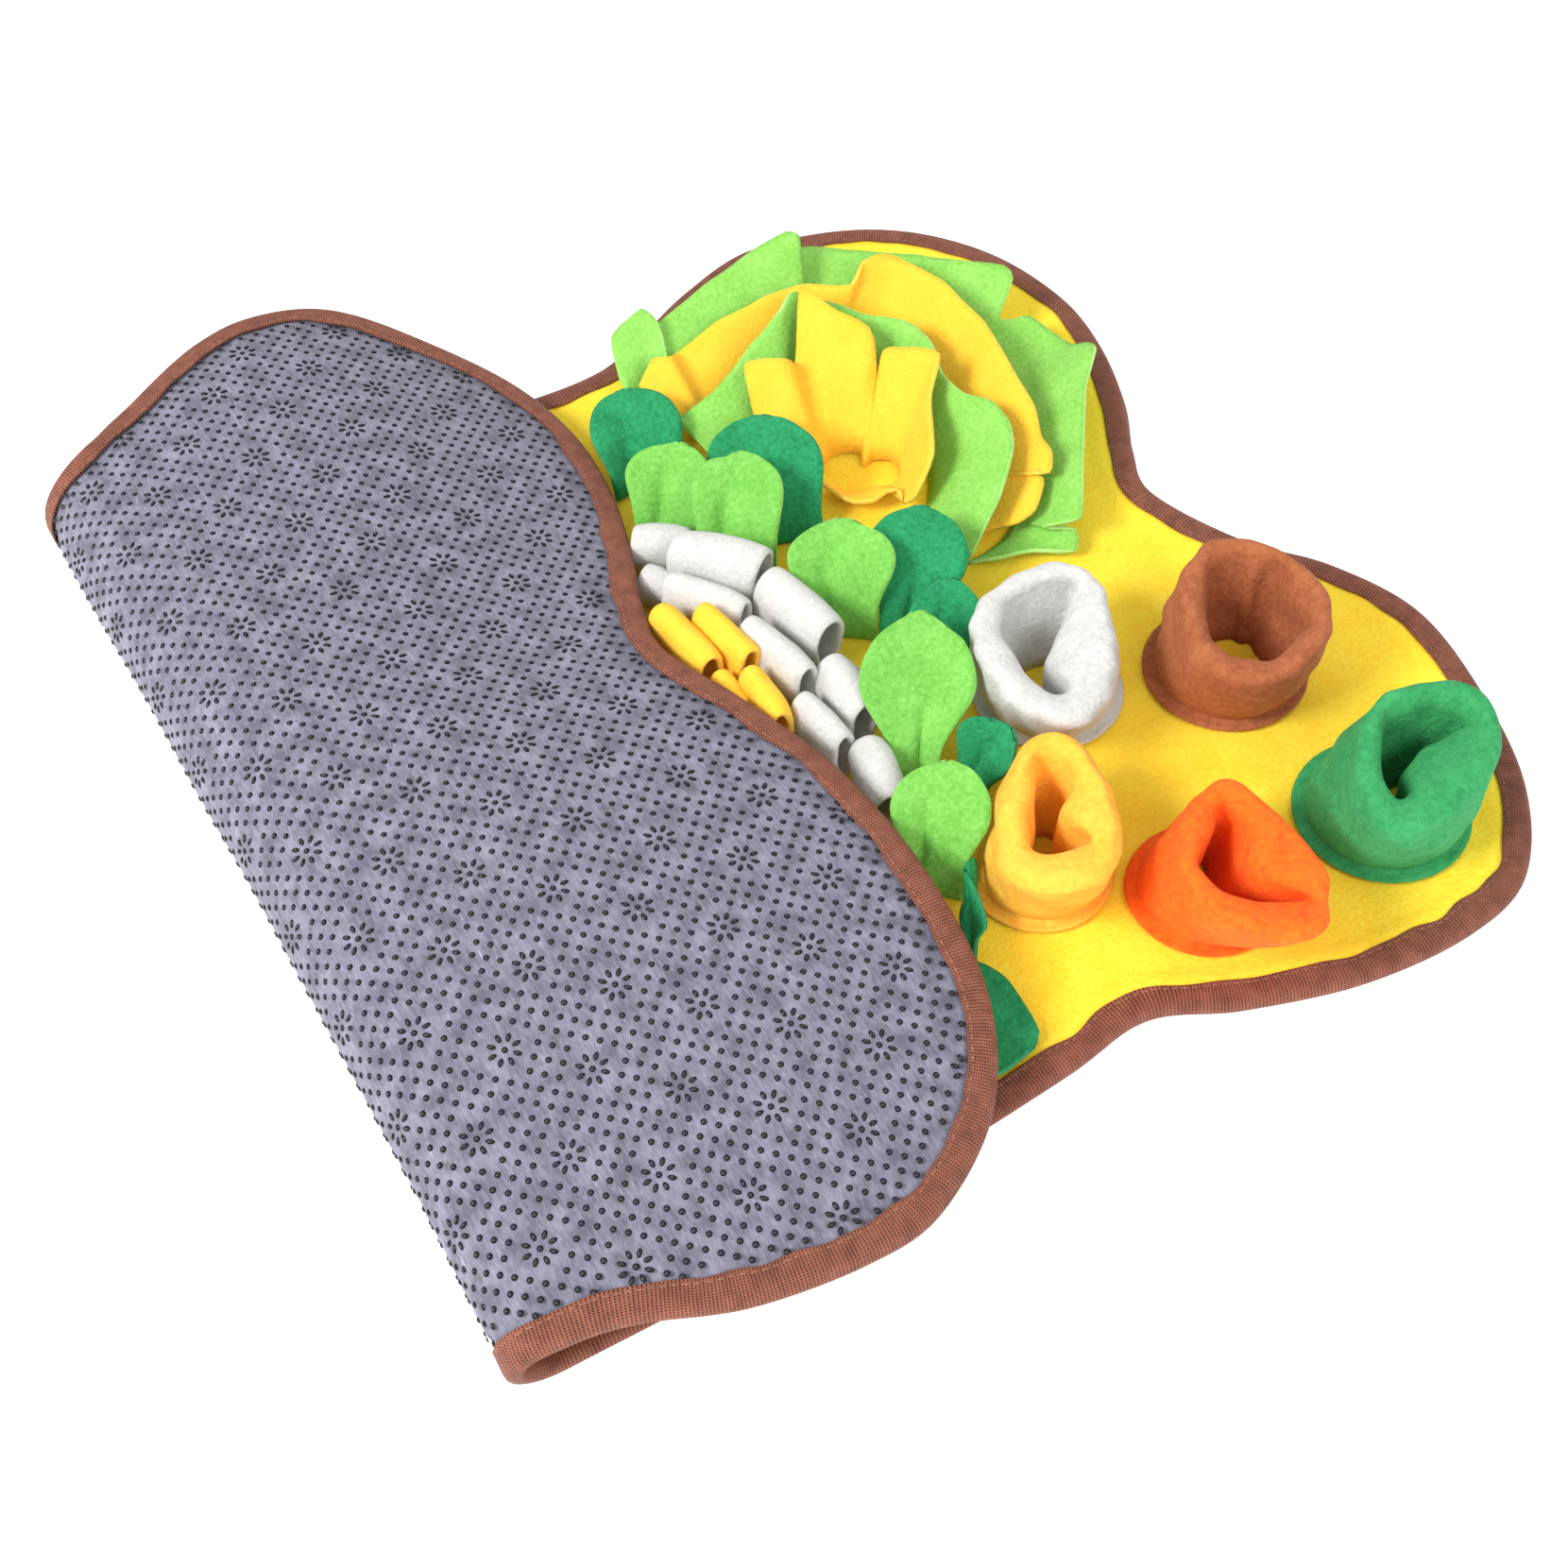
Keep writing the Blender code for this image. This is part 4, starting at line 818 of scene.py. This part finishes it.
def loop(name, node, row, number, materials):
    """One loop: a strip round an upright oval, sagging between its sides, one end of it bowed back."""
    foot_x, foot_y, facing, width, height, depth, lean, bow = row
    out = np.array([math.cos(math.radians(facing)), math.sin(math.radians(facing)), 0.0])
    side = np.array([-out[1], out[0], 0.0])
    base = np.array([foot_x, foot_y, 0.0])
    low = TOP + 0.5 * PATCH
    draw = np.random.default_rng(90 + number)
    skew, sag = draw.uniform(-1.0, 1.0), draw.uniform(0.4, 1.2)
    grid = []
    for turn in np.linspace(0.0, 2 * math.pi, LOOP_ROUND, endpoint=False):
        up = 0.5 - 0.5 * math.cos(turn)
        bulge = 0.5 * LOOP_PUFF * depth * math.sin(turn) * (0.35 + 0.65 * up)
        points = []
        for w in np.linspace(-1.0, 1.0, LOOP_ACROSS):
            back = bow * (0.5 * w + 0.5) ** 2
            centre = base + (bulge * (1 - 0.12 * w * w) + (lean + skew * w - back) * up) * out
            z = low + (height - 0.5 * (PATCH + LOOP_CLOTH) - TOP - sag * w * w) * up
            points.append(centre + side * (0.5 * LOOP_SPREAD * width * w) + np.array([0.0, 0.0, z]))
        grid.append(points)
    grid = np.array(grid)
    bumps = 0.45 * ripples(grid, 13.0, 120 + number).reshape(grid.shape[:2])
    grid += bumps[:, :, None] * out
    cloth_patch(name, node, grid, LOOP_CLOTH, materials, wrap=True, rounded=True)


white = [fleece("white fleece", *WHITES), fleece("white fleece, cut edge", "#D4D3CF", "#E4E3E0")]
for number, loop_row in enumerate(LOOPS_WHITE, 1):
    loop(f"white_loop_{number}", f"loop_white_{number}", loop_row, number, white)
yellow = [fleece("yellow fleece", *YELLOWS), fleece("yellow fleece, cut edge", "#FFC63C", "#FFD45A")]
for number, loop_row in enumerate(LOOPS_YELLOW, 1):
    loop(f"yellow_loop_{number}", f"loop_yellow_{number}", loop_row, 20 + number, yellow)


# ---- Rosette ----
# Long strips of lime and yellow fleece are sewn down by one long edge in rings, pleated as they go,
# so that the free edge stands up and fans outwards in folds. The innermost yellow one curls inwards.

STRIP_UP = 11  # points from a strip's foot to its top edge
ROSETTE_LIME_OUTER = (
    # foot_x, foot_y, top_x, top_y, top_z
    (224, 126, 228, 160, 24), (243, 132, 255, 166, 28), (262, 137, 284, 168, 34), (276, 139, 297, 165, 38),
    (289, 138, 300, 161, 37), (286, 143, 294, 172, 24), (296, 139, 307, 167, 24), (304, 133, 324, 156, 22),
    (310, 127, 334, 149, 20), (316, 118, 341, 137, 24), (322, 108, 351, 116, 30), (328, 99, 362, 102, 32),
    (331, 94, 362, 96, 30), (328, 88, 350, 88, 20), (332, 80, 362, 84, 18), (330, 68, 366, 62, 17),
    (326, 50, 364, 44, 30), (320, 40, 349, 30, 27), (313, 30, 334, 11, 25), (307, 20, 321, -5, 26),
    (301, 10, 308, -21, 22), (297, 5, 298, -12, 15), (293, 1, 309, -18, 13), (287, -2, 304, -25, 10),
    (278, -4, 290, -15, 9), (270, -4, 276, -9, 8),
)
ROSETTE_YELLOW_OUTER = (
    (213, 112, 209, 138, 20), (222, 114, 219, 143, 26), (226, 116, 223, 138, 28), (230, 120, 231, 144, 22),
    (242, 123, 250, 144, 28), (258, 125, 267, 142, 32), (273, 124, 287, 138, 34), (287, 118, 303, 126, 34),
    (291, 116, 312, 131, 38), (297, 111, 320, 132, 38), (301, 106, 327, 128, 36), (308, 96, 333, 103, 36),
    (311, 86, 334, 78, 34), (309, 72, 329, 53, 32), (304, 56, 324, 30, 30), (298, 44, 318, 17, 28),
    (294, 38, 315, 7, 30), (290, 32, 309, 0, 28), (286, 30, 301, 13, 22), (283, 24, 308, 2, 24),
    (278, 18, 298, -7, 20), (272, 14, 291, -6, 16), (266, 13, 282, 1, 12),
)
ROSETTE_LIME_INNER = (
    (220, 84, 212, 114, 18), (232, 92, 232, 115, 24), (246, 98, 251, 119, 34), (257, 103, 266, 121, 42),
    (264, 106, 276, 127, 43), (272, 103, 289, 120, 36), (280, 98, 298, 105, 36), (286, 90, 308, 93, 36),
    (290, 81, 310, 79, 34), (291, 72, 306, 66, 30), (291, 62, 305, 50, 32), (289, 52, 310, 38, 34),
    (285, 44, 309, 26, 34), (280, 36, 303, 15, 34), (275, 30, 295, 7, 32), (269, 24, 286, 0, 28),
    (262, 20, 275, -6, 22), (256, 18, 267, -9, 14),
)
ROSETTE_YELLOW_INNER = (
    (244, 64, 237, 95, 22), (247, 68, 242, 109, 36), (251, 70, 255, 100, 38), (254, 72, 262, 104, 30),
    (258, 74, 278, 124, 46), (263, 73, 283, 109, 44), (268, 70, 290, 93, 42), (269, 67, 289, 88, 34),
    (266, 62, 283, 77, 20), (270, 63, 292, 86, 34), (274, 61, 299, 80, 36), (277, 58, 305, 67, 40),
    (277, 53, 292, 54, 34), (274, 48, 278, 32, 29), (270, 46, 266, 26, 18), (267, 47, 263, 29, 14),
    (264, 48, 264, 34, 16), (261, 49, 260, 37, 15), (257, 50, 254, 37, 13), (254, 52, 248, 42, 12),
    (251, 55, 245, 49, 12), (249, 59, 242, 60, 14),
)
ROSETTE_LIME_END = (
    (205, 128, 206, 148, 16), (207, 134, 211, 163, 26), (215, 140, 227, 165, 32), (220, 135, 230, 157, 29),
    (220, 131, 227, 147, 22),
)


def strip(name, node, rows, materials, seed):
    """A pleated strip: soft folds between its rows, the foot sewn down and the top edge fanning out."""
    line = smooth_curve(rows, 4.0, closed=False, tension=0.3)
    grid = []
    for foot_x, foot_y, top_x, top_y, top_z in line:
        foot = np.array([foot_x, foot_y, TOP + 0.5 * PATCH])
        top = np.array([top_x, top_y, top_z])
        column = []
        for t in np.linspace(0.0, 1.0, STRIP_UP):
            point = foot + (top - foot) * t
            point[2] = foot[2] + (top_z - foot[2]) * t ** 0.8
            column.append(point)
        grid.append(column)
    grid = np.array(grid)
    grid[:, :, 2] += 0.5 * ripples(grid, 18.0, seed).reshape(grid.shape[:2]) * np.linspace(0, 1, STRIP_UP)
    cloth_patch(name, node, grid, PATCH, materials)


lime = [fleece("lime fleece", *ROSETTE_LIMES), fleece("lime fleece, cut edge", "#9CD866", "#BCEE92")]
strip("lime_strip_outer", "rosette_lime_outer", ROSETTE_LIME_OUTER, lime, 201)
strip("yellow_strip_outer", "rosette_yellow_outer", ROSETTE_YELLOW_OUTER, yellow, 202)
strip("lime_strip_inner", "rosette_lime_inner", ROSETTE_LIME_INNER, lime, 203)
strip("yellow_strip_inner", "rosette_yellow_inner", ROSETTE_YELLOW_INNER, yellow, 204)
strip("lime_strip_end", "rosette_lime_end", ROSETTE_LIME_END, lime, 205)


# ---- Tubes ----
# Five short tubes of thick fleece. Each is a band folded over at the rim, so that it is double, and sewn
# down on a ring where its seam allowance flares out. The rims are puffy and one side has sunk inwards.

TUBE_CLOTH = 2.2  # thickness of one layer of tube fleece
RIM_ROUND = 3.6  # radius of the rim's outer shoulder
FOOT_FLARE = 4.2  # seam allowance at the foot
TUBE_POINTS = 96  # points round a tube
TUBES = {
    # name: foot_x, foot_y, foot_r, rim_z, hem_drop, mouth_draw, mouth_back
    "tube_white": (257, -71, 23.0, 43.0, 0.0, 0.36, -1.0),
    "tube_brown": (316, -98, 25.5, 45.0, 0.0, 0.28, 0.0),
    "tube_green": (319, -177, 26.0, 47.0, 0.0, 0.28, 0.0),
    "tube_yellow": (208, -132, 21.0, 45.0, 13.0, 0.33, 0.0),
    "tube_orange": (249, -169, 22.5, 43.0, 0.0, 0.40, 10.0),
}
TUBE_RIMS = {
    # clockwise: crest_x, crest_y of the rim, and edge_x, edge_y, edge_z where the inner wall drops
    "tube_white": (
        (234, -60, 242, -61, 38), (242, -51, 249, -53, 38), (253, -47, 256, -51, 38),
        (265, -47, 265, -52, 38), (275, -50, 273, -54, 38), (279, -58, 276, -57, 36),
        (277, -70, 270, -63, 34), (270, -83, 262, -68, 32), (261, -95, 254, -73, 30),
        (250, -104, 249, -79, 28), (238, -107, 248, -90, 28), (232, -100, 242, -93, 32),
        (229, -87, 239, -86, 36), (230, -73, 239, -75, 38)),
    "tube_brown": (
        (298, -96, 305, -94, 40), (308, -82, 315, -83, 40), (321, -75, 321, -80, 38),
        (331, -78, 330, -83, 38), (337, -86, 332, -88, 32), (341, -98, 336, -91, 28),
        (341, -110, 334, -98, 24), (335, -120, 333, -111, 32), (327, -127, 329, -119, 38),
        (312, -131, 316, -124, 40), (299, -129, 306, -123, 40), (292, -121, 299, -116, 40),
        (291, -109, 298, -106, 40)),
    "tube_green": (
        (307, -174, 314, -173, 42), (316, -166, 321, -167, 42), (327, -163, 328, -168, 42),
        (337, -165, 336, -170, 42), (346, -169, 341, -173, 40), (350, -176, 345, -177, 38),
        (348, -185, 343, -182, 36), (340, -195, 342, -181, 36), (329, -201, 331, -180, 34),
        (317, -204, 321, -180, 32), (306, -204, 316, -183, 30), (297, -203, 312, -190, 32),
        (293, -196, 304, -192, 38), (298, -184, 304, -185, 42)),
    "tube_yellow": (
        (192, -136, 200, -135, 38), (202, -125, 209, -125, 38), (212, -115, 217, -115, 39),
        (223, -111, 221, -116, 39), (228, -116, 223, -119, 38), (228, -126, 223, -124, 37),
        (226, -137, 221, -129, 35), (221, -147, 214, -132, 32), (215, -155, 213, -138, 31),
        (207, -160, 215, -147, 32), (200, -159, 208, -149, 36), (192, -155, 199, -146, 38),
        (187, -147, 196, -141, 38)),
    "tube_orange": (
        (240, -166, 245, -170, 38), (250, -160, 254, -163, 38), (260, -157, 258, -162, 38),
        (264, -161, 259, -165, 36), (265, -171, 258, -167, 34), (265, -182, 255, -173, 32),
        (265, -193, 251, -180, 30), (262, -202, 249, -187, 30), (257, -209, 253, -195, 30),
        (251, -213, 258, -203, 32), (243, -212, 252, -200, 32), (236, -205, 244, -195, 34),
        (231, -195, 237, -188, 36), (230, -183, 236, -180, 37), (233, -174, 237, -174, 38)),
}
TUBE_COLOURS = {
    "tube_white": WHITES,
    "tube_brown": ("#944C26", "#B06840"),
    "tube_green": ("#24864C", "#3CA460"),
    "tube_yellow": ("#F8AE30", "#FFC448"),
    "tube_orange": ("#F05404", "#FA7410"),
}


def even_rows(points, count):
    """count rows spread evenly round a closed line, by distance in its first two columns."""
    pts = np.vstack([points, points[:1]])
    along = lengths_along(pts[:, :2])
    at = np.arange(count) * along[-1] / count
    return np.column_stack([np.interp(at, along, pts[:, k]) for k in range(pts.shape[1])])


def tube(name, seed):
    """One tube: a sheet from the flared foot up the outer wall, over the rim and down inside."""
    foot_x, foot_y, foot_r, rim_z, hem_drop, mouth_draw, mouth_back = TUBES[name]
    rim = even_rows(smooth_curve(TUBE_RIMS[name], 1.0, closed=True), TUBE_POINTS)
    crest, edge, edge_z = rim[:, :2], rim[:, 2:4], rim[:, 4]
    start = crest[0] - crest.mean(axis=0)
    turns = math.atan2(start[1], start[0]) - np.arange(TUBE_POINTS) * 2.0 * math.pi / TUBE_POINTS
    foot_out = np.column_stack([np.cos(turns), np.sin(turns)])
    foot = (foot_x, foot_y) + foot_r * foot_out
    crest_out = outwards(crest)
    shoulder = crest + RIM_ROUND * crest_out
    mouth = edge + mouth_draw * (edge.mean(axis=0) - edge) + (0.0, mouth_back)
    low = TOP + TUBE_CLOTH
    full = np.ones(TUBE_POINTS)
    lines = [(foot + reach * foot_out, rise * full) for reach, rise in (
        (FOOT_FLARE, low - 0.4), (FOOT_FLARE - 0.6, low + 0.1), (0.6 * FOOT_FLARE, low + 0.2),
        (0.9, low + 0.1), (-0.3, low + 0.9), (0.1, low + 2.4))]
    for u in np.linspace(0.14, 1.0, 13):
        height = low + (rim_z - RIM_ROUND - low) * u
        bulge = 1.4 * math.sin(math.pi * u)
        if hem_drop:
            below = (height - (rim_z - hem_drop)) / 1.6
            bulge += 1.1 / (1 + math.exp(-2 * below)) - 0.9 * math.exp(-below * below)
        lines.append((foot + (shoulder - foot) * u + bulge * crest_out, height * full))
    for a in np.radians((25, 50, 72, 90)):
        height = rim_z - RIM_ROUND * (1 - math.sin(a))
        lines.append((crest + RIM_ROUND * math.cos(a) * crest_out, height * full))
    for a in np.radians((14, 28, 42, 56, 70, 82, 90)):
        lines.append((crest + (edge - crest) * math.sin(a), edge_z + (rim_z - edge_z) * math.cos(a)))
    for u in np.linspace(0.12, 1.0, 9):
        lines.append((edge + (mouth - edge) * u ** 1.3, edge_z + (TOP + 0.2 - edge_z) * u))
    rings = []
    for place_on_ring, z in lines:
        spots = np.column_stack([place_on_ring, z])
        rise = np.clip((z - low) / (rim_z - low), 0.0, 1.0)
        shift = 0.8 * ripples(spots, 15.0, seed) * np.minimum(1.0, 4 * rise)
        lift = 0.6 * ripples(spots, 22.0, seed + 50) * np.maximum(0.0, (rise - 0.6) / 0.4)
        rings.append(spots + np.column_stack([shift[:, None] * crest_out, lift]))
    grid = np.array(rings).transpose(1, 0, 2)
    colour = name.replace("tube_", "")
    material = fleece(f"{colour} tube fleece", *TUBE_COLOURS[name], pile=0.8)
    cloth_patch(f"{colour}_tube", name, grid, TUBE_CLOTH, [material],
                wrap=True, side=-1.0)


for seed, tube_name in enumerate(TUBES):
    tube(tube_name, 300 + seed)


# ---- Floor, light and size ----
# A plain white floor, a soft light from the camera's left, a fainter one over its shoulder and an even
# pale sky.

FLOOR_HALF = 6.0  # metres
FLOOR_LOW = 0.0003  # metres below the mat's underside
floor_mesh = bpy.data.meshes.new("floor")
floor_mesh.from_pydata([(x * FLOOR_HALF, y * FLOOR_HALF, -FLOOR_LOW)
                        for x, y in ((-1, -1), (1, -1), (1, 1), (-1, 1))], [], [(0, 1, 2, 3)])
floor = bpy.data.objects.new("floor", floor_mesh)
bpy.context.collection.objects.link(floor)
floor_material, tree, shader = new_material("white paper backdrop")
set_shader(shader, {"Base Color": linear("#FFFFFF"), "Roughness": 0.9,
                    "Emission Color": linear("#FFFFFF"), "Emission Strength": 0.5})
floor_mesh.materials.append(floor_material)

sky = bpy.data.worlds.new("pale sky")
sky.use_nodes = True
sky.node_tree.nodes["Background"].inputs["Color"].default_value = linear("#FFFFFF")
sky.node_tree.nodes["Background"].inputs["Strength"].default_value = 0.85
bpy.context.scene.world = sky

LIGHTS = (
    # name, place, size, watts
    ("soft key", (-1.15, -0.05, 1.15), 0.5, 24.0),
    ("soft fill", (0.19, -1.3, 1.2), 0.8, 9.0),
)
for lamp_name, lamp_place, lamp_size, watts in LIGHTS:
    lamp_data = bpy.data.lights.new(lamp_name, "AREA")
    lamp_data.shape = "SQUARE"
    lamp_data.size = lamp_size
    lamp_data.energy = watts
    lamp = bpy.data.objects.new(lamp_name, lamp_data)
    lamp.location = Vector(lamp_place)
    lamp.rotation_euler = Vector(lamp_place).to_track_quat("Z", "Y").to_euler()
    bpy.context.collection.objects.link(lamp)
bpy.context.scene.view_settings.view_transform = "Standard"
